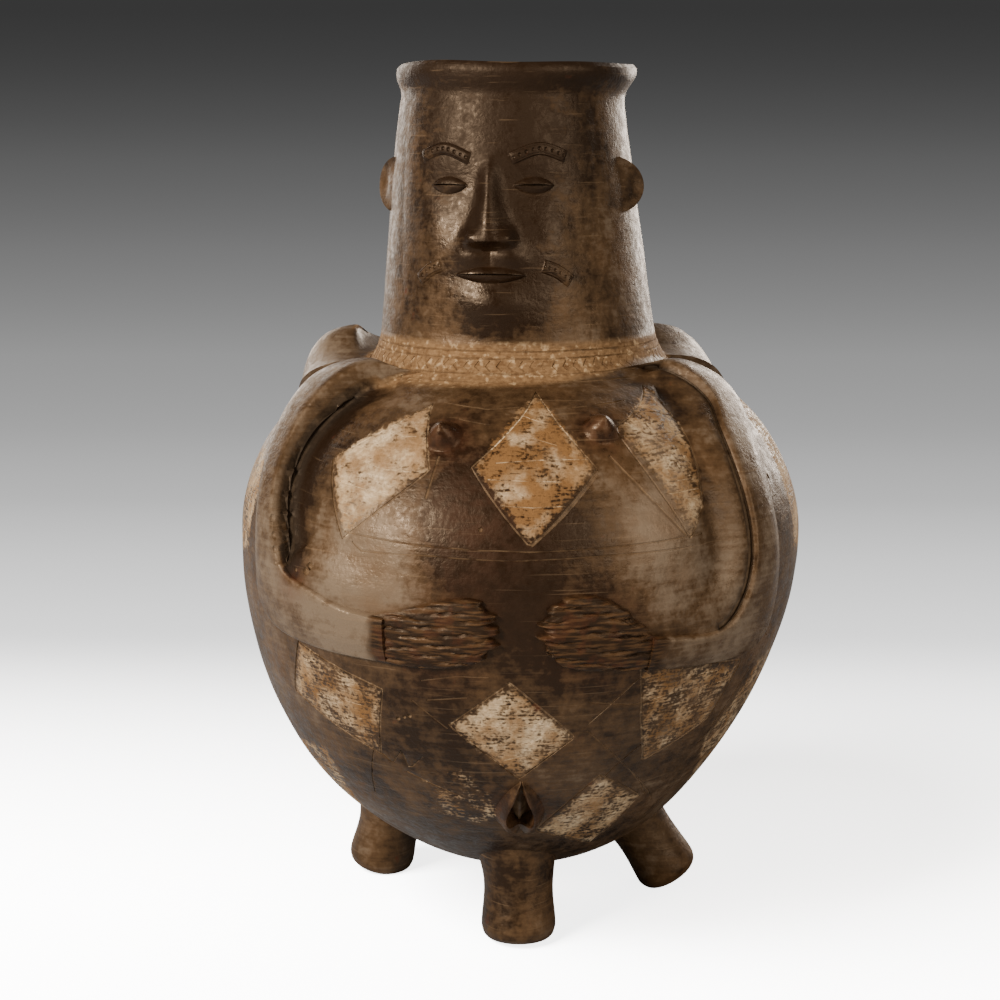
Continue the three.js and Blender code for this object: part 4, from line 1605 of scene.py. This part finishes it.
        # Painted shade in the valley beside the right arm's crack.
        values["tone"] -= 0.5 * np.exp(-(((right - 21) / 7) ** 2)) * low
        values["tone"] -= 0.5 * smoothstep(z, self.outline.height - 14, self.outline.height - 4)
        raised = smoothstep(lift, self.low_lift, 3.0) * (z < foot + 6) * (z > 60)
        nubs = [np.linalg.norm(at - self.outline.point(*np.array(nub), 0), axis=1) for nub in NUBS]
        raised *= smoothstep(np.minimum(*nubs), 11, 13)
        plain = smoothstep(np.abs(azimuth), *self.wrist)
        under, heel, knuckle, over = self.hand_levels
        values["arm"] = raised * plain
        values["hand"] = raised * (1 - plain) * smoothstep(z, under, heel) * (1 - smoothstep(z, knuckle, over))
        values["scored"] = smoothstep(-lift, 0.12, 0.5) * (1 - smoothstep(-lift, 2.2, 3.0))
        values["inside"] = smoothstep(-above, 5.6, 6.4)
        # The crack lines, and beside the left crack a band of painted shadow, both turned near black.
        band = 0.8 * (1 - smoothstep(left, 2.5, 8)) * (lift < 1.5)
        values["crack_and_shadow"] = np.maximum(1 - smoothstep(np.minimum(left, right), 1.0, 2.2), band)
        edge, top = np.interp(azimuth, *np.array(COLLAR_EDGE).T), self.outline.collar_top
        collar = smoothstep(z, edge - 1, edge + 1) * (1 - smoothstep(z, top - 1.5, top + 3))
        values["collar"] = collar * (1 - raised * (azimuth < 46))
        for name, numbers in values.items():
            write_values(pot, name, numbers)

    @staticmethod
    def from_line(at: Array, line: Array) -> Array:
        """How far points lie from a polyline.

        Args:
            at: The points.
            line: The polyline.

        Returns:
            The distances.
        """
        dense = [lerp(a, b, t) for a, b in zip(line[:-1], line[1:]) for t in np.linspace(0, 1, 5)]
        tree = KDTree(len(dense))
        for k, point in enumerate(dense):
            tree.insert(point, k)
        tree.balance()
        return np.array([tree.find(point)[2] for point in at])

    def painted(self, azimuth: Array, z: Array, lift: Array) -> tuple[Array, Array, Array]:
        """How far inside the nearest lozenge each point lies, and that lozenge's colour and wear.

        Args:
            azimuth: Azimuths.
            z: Heights.
            lift: Heights above the modelled skin.

        Returns:
            The reach, the ochre and the wear.
        """
        line = self.outline.line()

        def flat(places: Array, centre: float) -> Array:
            """Places as millimetres round and up the skin."""
            off = (places[:, 0] - centre + 180) % 360 - 180
            return np.stack([np.radians(off) * self.outline.skin(places[:, 1])[0],
                             np.interp(places[:, 1], line[:, 1], self.outline.lengths(line))], 1)

        best = np.full(len(azimuth), self.unpainted)
        ochre, wear = np.zeros(len(azimuth)), np.zeros(len(azimuth))
        here = np.stack([azimuth, z], 1)
        for one in LOZENGES:
            corners = np.array(one.corners, float)
            centre = corners[:, 0].mean()
            reach = inside_by(flat(here, centre), flat(corners, centre))
            ahead = reach > best
            best = np.where(ahead, reach, best)
            ochre = np.where(ahead, one.ochre, ochre)
            wear = np.where(ahead, one.wear, wear)
        return np.where((lift > 1.6) | (lift < -3), self.unpainted, best), ochre, wear

    def mark_hollows(self, pot: Piece) -> None:
        """Write on the mesh how shut in each point is, for dirt and dust.

        Args:
            pot: The pot.
        """
        graph = bpy.context.evaluated_depsgraph_get()
        tree = BVHTree.FromObject(pot, graph)
        rng = np.random.default_rng(SEED)
        spread = rng.normal(size=(self.rays, 3))
        spread /= np.linalg.norm(spread, axis=1)[:, None]
        reach = self.dirt_reach * MM
        values = []
        for corner in pot.data.vertices:
            normal = corner.normal
            start = corner.co + normal * 0.3 * MM
            hits = 0
            for ray in spread:
                aim = (normal * 1.05 + Vector(ray)).normalized()
                found = tree.ray_cast(start, aim, reach)[3]
                hits += 0 if found is None else 1 - found / reach
            values.append(hits / len(spread))
        write_values(pot, "hollow", np.array(values))


def inside_by(points: Array, polygon: Array) -> Array:
    """How far inside a polygon points lie, below nought outside it.

    Args:
        points: Points in a plane.
        polygon: Its corners.

    Returns:
        The distances from its edge.
    """
    best = np.full(len(points), 1e9)
    inside = np.zeros(len(points), bool)
    for a, b in zip(polygon, np.roll(polygon, -1, axis=0)):
        side = b - a
        t = np.clip(((points - a) @ side) / (side @ side), 0, 1)
        best = np.minimum(best, np.linalg.norm(points - (a + t[:, None] * side), axis=1))
        spans = (a[1] > points[:, 1]) != (b[1] > points[:, 1])
        cross = a[0] + (points[:, 1] - a[1]) * side[0] / (side[1] if side[1] else 1e-9)
        inside ^= spans & (points[:, 0] < cross)
    return np.where(inside, best, -best)


def grown(corners: Sequence[tuple[float, float]], by: float) -> list[tuple[float, float]]:
    """A lozenge's corners moved out from its centre, by degrees sideways and millimetres upwards.

    Args:
        corners: The corners.
        by: How far.

    Returns:
        The new corners.
    """
    centre = np.mean(corners, axis=0)
    off = np.array(corners) - centre
    size = np.abs(off).max(0)
    return [tuple(centre + one * (1 + np.array([0.5 * by, by]) / size)) for one in off]


def corners_of(piece: Piece) -> Array:
    """A mesh's corners in millimetres.

    Args:
        piece: The piece.

    Returns:
        The corners, a row each.
    """
    at = np.empty(len(piece.data.vertices) * 3)
    piece.data.vertices.foreach_get("co", at)
    return at.reshape(-1, 3) / MM


def put_corners(piece: Piece, at: Array) -> None:
    """Set a mesh's corners from millimetres."""
    piece.data.vertices.foreach_set("co", (at * MM).astype(np.float32).ravel())
    piece.data.update()


def write_values(piece: Piece, name: str, values: Array) -> None:
    """Keep one number for each corner of a mesh under a name."""
    layer = piece.data.attributes.new(name, "FLOAT", "POINT")
    layer.data.foreach_set("value", np.asarray(values, np.float32))


class ShaderGroups:
    """The effects that the finishes share, each a node group that is built once."""

    mean_radius: float = 0.12

    def __init__(self) -> None:
        """Build every group."""
        self.around = self._around()
        self.mottle = self._mottle()
        self.wear = self._wear()

    def _around(self) -> Group:
        """Coordinates that run round the pot and up it, so that a pattern can be drawn out sideways.

        Returns:
            The node group.
        """
        tree = NodeTree("round the pot", "ShaderNodeTree")
        tree.inlet("Sideways", "NodeSocketFloat", 1.0)
        tree.inlet("Upwards", "NodeSocketFloat", 1.0)
        tree.outlet("Vector", "NodeSocketVector")
        source = tree.start.outputs
        place = tree.add("ShaderNodeTexCoord").outputs["Object"]
        split = tree.add("ShaderNodeSeparateXYZ", {0: place}).outputs
        turn = tree.math("ARCTAN2", split["X"], tree.math("MULTIPLY", split["Y"], -1))
        girth = tree.math("MULTIPLY", turn, self.mean_radius)
        put = tree.add("ShaderNodeCombineXYZ", {"X": tree.math("MULTIPLY", girth, source["Sideways"]),
                                                "Y": tree.math("MULTIPLY", split["Z"], source["Upwards"])})
        tree.join(put.outputs[0], tree.end.inputs["Vector"])
        return tree.tree

    def _mottle(self) -> Group:
        """A blotchy value between 0 and 1, with its contrast about the middle.

        Returns:
            The node group.
        """
        tree = NodeTree("mottle", "ShaderNodeTree")
        tree.inlet("Vector", "NodeSocketVector")
        for name, value in (("Scale", 30.0), ("Detail", 6.0), ("Low", 0.4), ("High", 0.6)):
            tree.inlet(name, "NodeSocketFloat", value)
        tree.outlet("Value", "NodeSocketFloat")
        source = tree.start.outputs
        inputs = {name: source[name] for name in ("Vector", "Scale", "Detail")}
        cloud = tree.add("ShaderNodeTexNoise", inputs, noise_dimensions="3D").outputs["Fac"]
        tree.join(tree.eased(cloud, source["Low"], source["High"]), tree.end.inputs["Value"])
        return tree.tree

    def _wear(self) -> Group:
        """A worn coat: full well inside its edge, ragged at it, and rubbed through in places.

        Returns:
            The node group.
        """
        tree = NodeTree("worn coat", "ShaderNodeTree")
        for name in ("Reach", "Wear", "Rag", "Rub"):
            tree.inlet(name, "NodeSocketFloat")
        tree.outlet("Mask", "NodeSocketFloat")
        source = tree.start.outputs
        ragged = tree.math("MULTIPLY", tree.math("SUBTRACT", source["Rag"], 0.5), 4.0)
        edge = tree.eased(tree.math("ADD", source["Reach"], ragged), -1.2, 2.2)
        low = tree.math("MULTIPLY_ADD", source["Wear"], 0.62, 0.06)
        rubbed = tree.eased(source["Rub"], low, tree.math("ADD", low, 0.40))
        tree.join(tree.math("MULTIPLY", edge, rubbed), tree.end.inputs["Mask"])
        return tree.tree


class Run(Enum):
    """How a pattern lies on the clay: its scales round the pot and up it, or none where it is even."""

    EVEN = None
    STREAKED = (0.16, 1.0)
    SCRAPED = (0.05, 1.6)


@dataclass(frozen=True)
class Cloud:
    """A blotchy pattern: how fine it is, what becomes 0 and 1, and how many finer layers it has."""

    scale: float
    low: float
    high: float
    detail: float = 6.0
    run: Run = Run.EVEN


CLOUDS = {
    "broad": Cloud(24, 0.30, 0.70), "middle": Cloud(62, 0.30, 0.70), "fine": Cloud(190, 0.34, 0.66, 10),
    "grain": Cloud(560, 0.35, 0.65, 3), "streak": Cloud(420, 0.36, 0.66, 8, Run.STREAKED),
    "warmth": Cloud(34, 0.46, 0.66), "specks": Cloud(110, 0.68, 0.78), "dirt": Cloud(80, 0.36, 0.66),
    "flecks": Cloud(420, 0.64, 0.72, 2, Run.SCRAPED), "ridges": Cloud(620, 0.44, 0.62, run=Run.STREAKED),
    "flush": Cloud(120, 0.50, 0.64), "scuff": Cloud(900, 0.30, 0.70, 5, Run.STREAKED),
    "rub": Cloud(100, 0.24, 0.76, 10), "rag": Cloud(420, 0.25, 0.75, 8), "ochre": Cloud(75, 0.30, 0.66, 12),
    "band": Cloud(330, 0.12, 0.46, run=Run.STREAKED), "flakes": Cloud(300, 0.54, 0.70),
    "broken": Cloud(170, 0.30, 0.60), "swell": Cloud(75, 0.2, 0.8, 4),
    "drag": Cloud(300, 0.2, 0.8, 5, Run.STREAKED),
}
MARKS = ("paint_reach", "paint_ochre", "paint_wear", "tone", "polish", "red", "hollow", "scored", "crack_and_shadow", "arm",
         "hand", "collar", "inside")
Sockets = dict[str, Socket]


class Finish(NodeTree):
    """A material's own node tree, with short forms of what the finishes use."""

    def __init__(self, tree: Group) -> None:
        """Start from an empty tree."""
        self.tree = tree
        tree.nodes.clear()

    def group(self, group: Group, **values: object) -> dict[str, Socket]:
        """Place a group with its own values.

        Args:
            group: The node group.
            **values: A socket or a number for each named input.

        Returns:
            Its outputs by name.
        """
        node = self.add("ShaderNodeGroup", values, node_tree=group)
        return {socket.name: socket for socket in node.outputs}

    def mottled(self, group: Group, vector: Socket, cloud: Cloud) -> Socket:
        """Place the mottle group.

        Args:
            group: The mottle group.
            vector: Its coordinates.
            cloud: Its sizes.

        Returns:
            Its value.
        """
        return self.group(group, Vector=vector, Scale=cloud.scale, Detail=cloud.detail, Low=cloud.low,
                          High=cloud.high)["Value"]

    def total(self, *parts: tuple[Socket, float]) -> Socket:
        """Add values up, each times its weight.

        Args:
            *parts: Each value and its weight.

        Returns:
            The sum.
        """
        found = None
        for value, weight in parts:
            found = self.math("MULTIPLY_ADD", value, weight, 0.0 if found is None else found)
        return found

    def value_of(self, name: str) -> Socket:
        """The number that the mesh keeps under a name."""
        return self.add("ShaderNodeAttribute", attribute_name=name).outputs["Fac"]

    def mix(self, share: object, a: object, b: object) -> Socket:
        """Mix two colours."""
        a, b = ((*value, 1.0) if isinstance(value, tuple) else value for value in (a, b))
        return self.add("ShaderNodeMix", {"Factor": share, 6: a, 7: b}, data_type="RGBA").outputs[2]

    def tint(self, colour: object, mask: Socket, weight: object, towards: object) -> Socket:
        """Shift a colour towards another by a mask times a weight."""
        return self.mix(self.math("MULTIPLY", mask, weight), colour, towards)

    def bump(self, height: Socket, strength: float, distance: float, below: Socket | None = None) -> Socket:
        """Relief too fine for the mesh.

        Args:
            height: What it follows.
            strength: How much of it shows.
            distance: Its depth in metres.
            below: A normal that it is added to.

        Returns:
            The normal.
        """
        inputs = {"Height": height, "Strength": strength, "Distance": distance}
        if below is not None:
            inputs["Normal"] = below
        return self.add("ShaderNodeBump", inputs).outputs["Normal"]

    def out(self, shader: bpy.types.Node) -> None:
        """End the material in a shader."""
        self.add("ShaderNodeOutputMaterial", {"Surface": shader.outputs[0]})


@dataclass(frozen=True)
class BurnishedClay:
    """Dark burnished clay with rubbed slip paint in its lozenges and on its collar."""

    name: str = "burnished clay"
    dark: Colour = (0.012, 0.0054, 0.0022)
    brown: Colour = (0.062, 0.036, 0.0175)
    pale: Colour = (0.150, 0.113, 0.078)
    warm: Colour = (0.098, 0.050, 0.020)
    red: Colour = (0.072, 0.020, 0.008)
    black: Colour = (0.007, 0.0045, 0.003)
    dust: Colour = (0.26, 0.175, 0.100)
    cream: Colour = (0.64, 0.475, 0.285)
    chalk: Colour = (0.86, 0.71, 0.49)
    ochre: Colour = (0.23, 0.118, 0.042)
    beige: Colour = (0.285, 0.180, 0.092)
    raw: Colour = (0.045, 0.027, 0.016)
    sheen_tint: Colour = (1.0, 0.8, 0.6)
    sheen: float = 0.29

    def make(self, groups: ShaderGroups) -> Material:
        """Build the material.

        Args:
            groups: The shared effects.

        Returns:
            The material.
        """
        material = bpy.data.materials.new(self.name)
        material.use_nodes = True
        paint = Finish(material.node_tree)
        runs = {Run.EVEN: paint.add("ShaderNodeTexCoord").outputs["Object"]}
        for run in (Run.STREAKED, Run.SCRAPED):
            sideways, upwards = run.value
            runs[run] = paint.group(groups.around, Sideways=sideways, Upwards=upwards)["Vector"]
        cloud = {name: paint.mottled(groups.mottle, runs[one.run], one) for name, one in CLOUDS.items()}
        mark = {name: paint.value_of(name) for name in MARKS}
        rub = paint.total((cloud["rub"], 0.38), (cloud["scuff"], 0.34), (cloud["grain"], 0.28))
        coat = paint.group(groups.wear, Reach=mark["paint_reach"], Wear=mark["paint_wear"], Rag=cloud["rag"],
                           Rub=rub)["Mask"]
        colour = paint.mix(coat, self.bare(paint, cloud, mark), self.slip(paint, cloud, mark))
        band = paint.math("MULTIPLY", mark["collar"], cloud["band"])
        colour = paint.tint(colour, band, 0.9, self.banded(paint, cloud))
        painted = paint.math("MAXIMUM", coat, band)
        broken = paint.math("MULTIPLY", mark["scored"], cloud["broken"])
        line = paint.mix(band, paint.mix(coat, self.dust, self.chalk), self.brown)
        colour = paint.tint(colour, broken, paint.math("MULTIPLY_ADD", painted, 0.25, 0.42), line)
        # Near black in the cracks, and in the band of painted shadow beside the left arm's crack.
        paint.out(paint.add("ShaderNodeBsdfPrincipled", {
            "Base Color": paint.mix(mark["crack_and_shadow"], colour, self.black),
            "Roughness": self.roughness(paint, cloud, mark, painted), "IOR": 1.5,
            "Normal": self.tooth(paint, cloud, painted), "Specular IOR Level": self.sheen,
            "Specular Tint": (*self.sheen_tint, 1.0)}))
        return material

    def bare(self, paint: Finish, cloud: Sockets, mark: Sockets) -> Socket:
        """The colour of the unpainted clay.

        Args:
            paint: The material's tree.
            cloud: Its patterns.
            mark: The numbers that the mesh keeps.

        Returns:
            The colour.
        """
        level = paint.total((cloud["broad"], 0.34), (cloud["middle"], 0.26), (cloud["fine"], 0.24),
                            (cloud["streak"], 0.16), (mark["tone"], 0.66), (mark["arm"], 0.24),
                            (cloud["grain"], 0.10))
        level = paint.math("SUBTRACT", level, 0.12, clamp=True)
        colour = paint.mix(paint.math("MULTIPLY", level, 2.0, clamp=True), self.dark, self.brown)
        colour = paint.mix(paint.math("MULTIPLY_ADD", level, 2.0, -1.0, clamp=True), colour, self.pale)
        warmed = paint.math("MULTIPLY", cloud["warmth"], paint.math("SUBTRACT", 1.0, mark["arm"]))
        colour = paint.tint(colour, warmed, paint.math("MULTIPLY", level, 0.5), self.warm)
        specks = paint.math("MAXIMUM", cloud["specks"], mark["red"], clamp=True)
        colour = paint.tint(colour, specks, paint.math("MULTIPLY_ADD", cloud["fine"], 0.6, 0.2), self.red)
        colour = paint.tint(colour, paint.math("MULTIPLY", cloud["dirt"], mark["hollow"]), 0.42, self.warm)
        colour = paint.tint(colour, cloud["flecks"], 0.16, self.dust)
        ridges = paint.math("MULTIPLY", mark["hand"], cloud["ridges"])
        colour = paint.tint(paint.mix(mark["hand"], colour, self.dark), ridges, 0.55, self.warm)
        colour = paint.tint(colour, paint.math("MULTIPLY", mark["hand"], cloud["flush"]), 0.28, self.red)
        return paint.mix(mark["inside"], colour, self.raw)

    def slip(self, paint: Finish, cloud: Sockets, mark: Sockets) -> Socket:
        """The colour of the lozenges' slip.

        Args:
            paint: The material's tree.
            cloud: Its patterns.
            mark: The numbers that the mesh keeps.

        Returns:
            The colour.
        """
        more = paint.math("SUBTRACT", mark["paint_ochre"], 0.45)
        colour = paint.mix(cloud["middle"], self.cream, self.chalk)
        colour = paint.mix(paint.math("ADD", cloud["ochre"], more, clamp=True), colour, self.ochre)
        colour = paint.tint(colour, cloud["rag"], 0.55, self.ochre)
        return paint.mix(paint.total((cloud["grain"], 0.22), (cloud["scuff"], 0.28)), colour, self.brown)

    def banded(self, paint: Finish, cloud: Sockets) -> Socket:
        """The colour of the collar's painted band.

        Args:
            paint: The material's tree.
            cloud: Its patterns.

        Returns:
            The colour.
        """
        rubbed = paint.total((cloud["rag"], 0.5), (cloud["scuff"], 0.34), (cloud["fine"], 0.24))
        return paint.tint(paint.mix(rubbed, self.beige, self.warm), cloud["flakes"], 0.5, self.cream)

    def roughness(self, paint: Finish, cloud: Sockets, mark: Sockets, painted: Socket) -> Socket:
        """How rough the clay and its paint are.

        Args:
            paint: The material's tree.
            cloud: Its patterns.
            mark: The numbers that the mesh keeps.
            painted: Where there is paint.

        Returns:
            The roughness.
        """
        shut = paint.math("MAXIMUM", mark["inside"], mark["hollow"])
        clay = paint.total((mark["hand"], 0.14), (cloud["fine"], 0.16), (mark["polish"], -0.11),
                           (cloud["grain"], 0.10), (shut, 0.3))
        return paint.math("MAXIMUM", paint.math("ADD", clay, 0.31), paint.math("MULTIPLY", painted, 0.85),
                          clamp=True)

    def tooth(self, paint: Finish, cloud: Sockets, painted: Socket) -> Socket:
        """The relief of the burnishing, the grain and the paint's crust.

        Args:
            paint: The material's tree.
            cloud: Its patterns.
            painted: Where there is paint.

        Returns:
            The normal.
        """
        swell = paint.bump(cloud["swell"], 0.26, 0.0009)
        drag = paint.bump(cloud["drag"], 0.25, 0.0004, swell)
        grain = paint.bump(cloud["grain"], 0.22, 0.00025, drag)
        return paint.bump(paint.math("MULTIPLY", painted, cloud["rag"]), 0.5, 0.0003, grain)


@dataclass(frozen=True)
class Lamp:
    """A square soft light: where it hangs, where it points, its side in metres and its watts."""

    name: str
    place: Spot
    aim: Spot
    size: float
    power: float
    colour: Colour

    def hang(self) -> Piece:
        """Put it into the scene.

        Returns:
            The lamp.
        """
        data = bpy.data.lights.new(self.name, "AREA")
        data.shape = "SQUARE"
        data.size = self.size
        data.energy = self.power
        data.color = self.colour
        lamp = bpy.data.objects.new(self.name, data)
        lamp.location = self.place
        lamp.rotation_euler = (Vector(self.aim) - Vector(self.place)).to_track_quat("-Z", "Y").to_euler()
        bpy.context.scene.collection.objects.link(lamp)
        return lamp


LAMPS = (
    Lamp("key", (-1.5, -1.35, 1.1), (0, 0, 0.22), 0.5, 74, (1.0, 0.87, 0.74)),
    Lamp("fill", (1.3, -1.5, 0.9), (0, 0, 0.2), 1.2, 24, (1.0, 0.86, 0.72)),
    Lamp("right rim", (1.15, 1.6, 0.8), (0.1, 0, 0.22), 1.1, 46, (1.0, 0.88, 0.76)),
    Lamp("left rim", (-1.15, 1.6, 0.8), (-0.1, 0, 0.22), 1.1, 20, (1.0, 0.88, 0.76)),
)
PAPER_LAMP = Lamp("paper light", (-1.6, -0.9, 2.0), (0.1, 0.1, 0), 1.3, 760, (1, 1, 1))


@dataclass(frozen=True)
class Studio:
    """The pale floor with its sweep, the lights and the camera at the photograph's angle."""

    eye: tuple[float, float, float] = (0.0, -0.873, 0.403)
    pitch: float = 0.207
    yaw: float = 0.0121
    lens: float = 59.4
    glow: tuple[tuple[float, float], ...] = (
        (-0.3, 4.2), (-0.03, 4.0), (0.12, 3.0), (0.31, 2.1), (0.6, 1.3), (1.05, 0.66), (1.9, 0.34), (2.27, 0.19),
        (2.52, 0.116), (2.66, 0.077), (2.77, 0.055), (2.85, 0.045))
    stops: tuple[float, float] = (8.5, -5.0)
    lit_start: float = -0.05
    lit_end: float = 0.5
    air: Colour = (1.0, 0.86, 0.7)
    air_strength: float = 0.28

    def camera(self) -> None:
        """Set the camera up."""
        data = bpy.data.cameras.new("camera")
        data.lens = self.lens
        data.sensor_width = 36
        data.clip_start = 0.01
        camera = bpy.data.objects.new("camera", data)
        camera.location = self.eye
        camera.rotation_euler = (math.pi / 2 - self.pitch, 0, self.yaw)
        bpy.context.scene.collection.objects.link(camera)
        bpy.context.scene.camera = camera

    def sweep(self) -> Piece:
        """A paper sweep: a flat floor that turns up behind the pot.

        Returns:
            The sweep.
        """
        width, front, bend, radius, top = 6.0, -4.0, 1.5, 0.7, 3.2
        line = [(front, 0.0), (bend, 0.0)]
        turns = np.linspace(0.06, math.pi / 2, 24)
        line += [(bend + radius * math.sin(turn), radius - radius * math.cos(turn)) for turn in turns]
        line.append((bend + radius, top))
        points = [(x, y, z) for x in (-width / 2, width / 2) for y, z in line]
        count = len(line)
        faces = [(i, i + count, i + count + 1, i + 1) for i in range(count - 1)]
        mesh = bpy.data.meshes.new("sweep")
        mesh.from_pydata(points, [], faces)
        mesh.shade_smooth()
        sweep = linked("sweep", mesh)
        sweep.data.materials.append(self.paper())
        return sweep

    def paper(self) -> Material:
        """White paper with a painted glow, seen only by the camera, that darkens upwards behind the pot, and that
        throws little light back on it.

        Returns:
            The material.
        """
        material = bpy.data.materials.new("sweep paper")
        material.use_nodes = True
        paint = Finish(material.node_tree)
        place = paint.add("ShaderNodeTexCoord").outputs["Object"]
        split = paint.add("ShaderNodeSeparateXYZ", {0: place}).outputs
        far = paint.math("ADD", split["Y"], split["Z"])
        start, end = self.glow[0][0], self.glow[-1][0]
        span, floor = self.stops
        share = paint.math("DIVIDE", paint.math("SUBTRACT", far, start), end - start)
        ramp = paint.add("ShaderNodeValToRGB", {0: share})
        while len(ramp.color_ramp.elements) < len(self.glow):
            ramp.color_ramp.elements.new(0.5)
        for element, (run, light) in zip(ramp.color_ramp.elements, self.glow):
            element.position = (run - start) / (end - start)
            grey = (math.log2(light) - floor) / span
            element.color = (grey, grey, grey, 1)
        seen = paint.add("ShaderNodeLightPath").outputs["Is Camera Ray"]
        # Painted glow: the paper's brightness up the sweep is emission, seen only by the camera.
        power = paint.math("POWER", 2.0, paint.math("MULTIPLY_ADD", ramp.outputs["Color"], span, floor))
        lit = paint.math("MULTIPLY", paint.eased(far, self.lit_end, self.lit_start), seen)
        bounced = paint.math("MULTIPLY", paint.math("SUBTRACT", 1.0, seen), 0.07)
        paint.out(paint.add("ShaderNodeBsdfPrincipled", {
            "Base Color": paint.math("MULTIPLY_ADD", lit, 0.9, bounced), "Roughness": 0.9,
            "Specular IOR Level": 0.0, "Emission Color": (1, 1, 1, 1),
            "Emission Strength": paint.math("MULTIPLY", power, seen)}))
        return material

    def build(self) -> None:
        """Set up everything round the pot."""
        self.camera()
        sweep = self.sweep()
        world = bpy.data.worlds.new("studio air")
        world.use_nodes = True
        background = world.node_tree.nodes["Background"].inputs
        background["Color"].default_value = (*self.air, 1)
        background["Strength"].default_value = self.air_strength
        bpy.context.scene.world = world
        for lamp in LAMPS:
            lamp.hang()
        paper_only = bpy.data.collections.new("paper only")
        paper_only.objects.link(sweep)
        PAPER_LAMP.hang().light_linking.receiver_collection = paper_only


def main() -> None:
    """Build the vessel and its studio in order."""
    logging.basicConfig(level=logging.INFO, format="%(message)s")
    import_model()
    low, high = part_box("vessel")
    outline = Outline(height=high.z / MM, belly_radius=(high.x - low.x) / 2 / MM)
    Studio().build()
    clay = BurnishedClay().make(ShaderGroups())
    LOG.info("studio and finishes are ready")

    pot = Clay(outline, Turning(clay), Stylus(clay)).build()
    pot.data.materials.clear()
    pot.data.materials.append(clay)
    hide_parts("vessel")
    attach(pot, "root")
    LOG.info("vessel: %d triangles", len(pot.data.polygons))


if __name__ == "__main__":
    main()
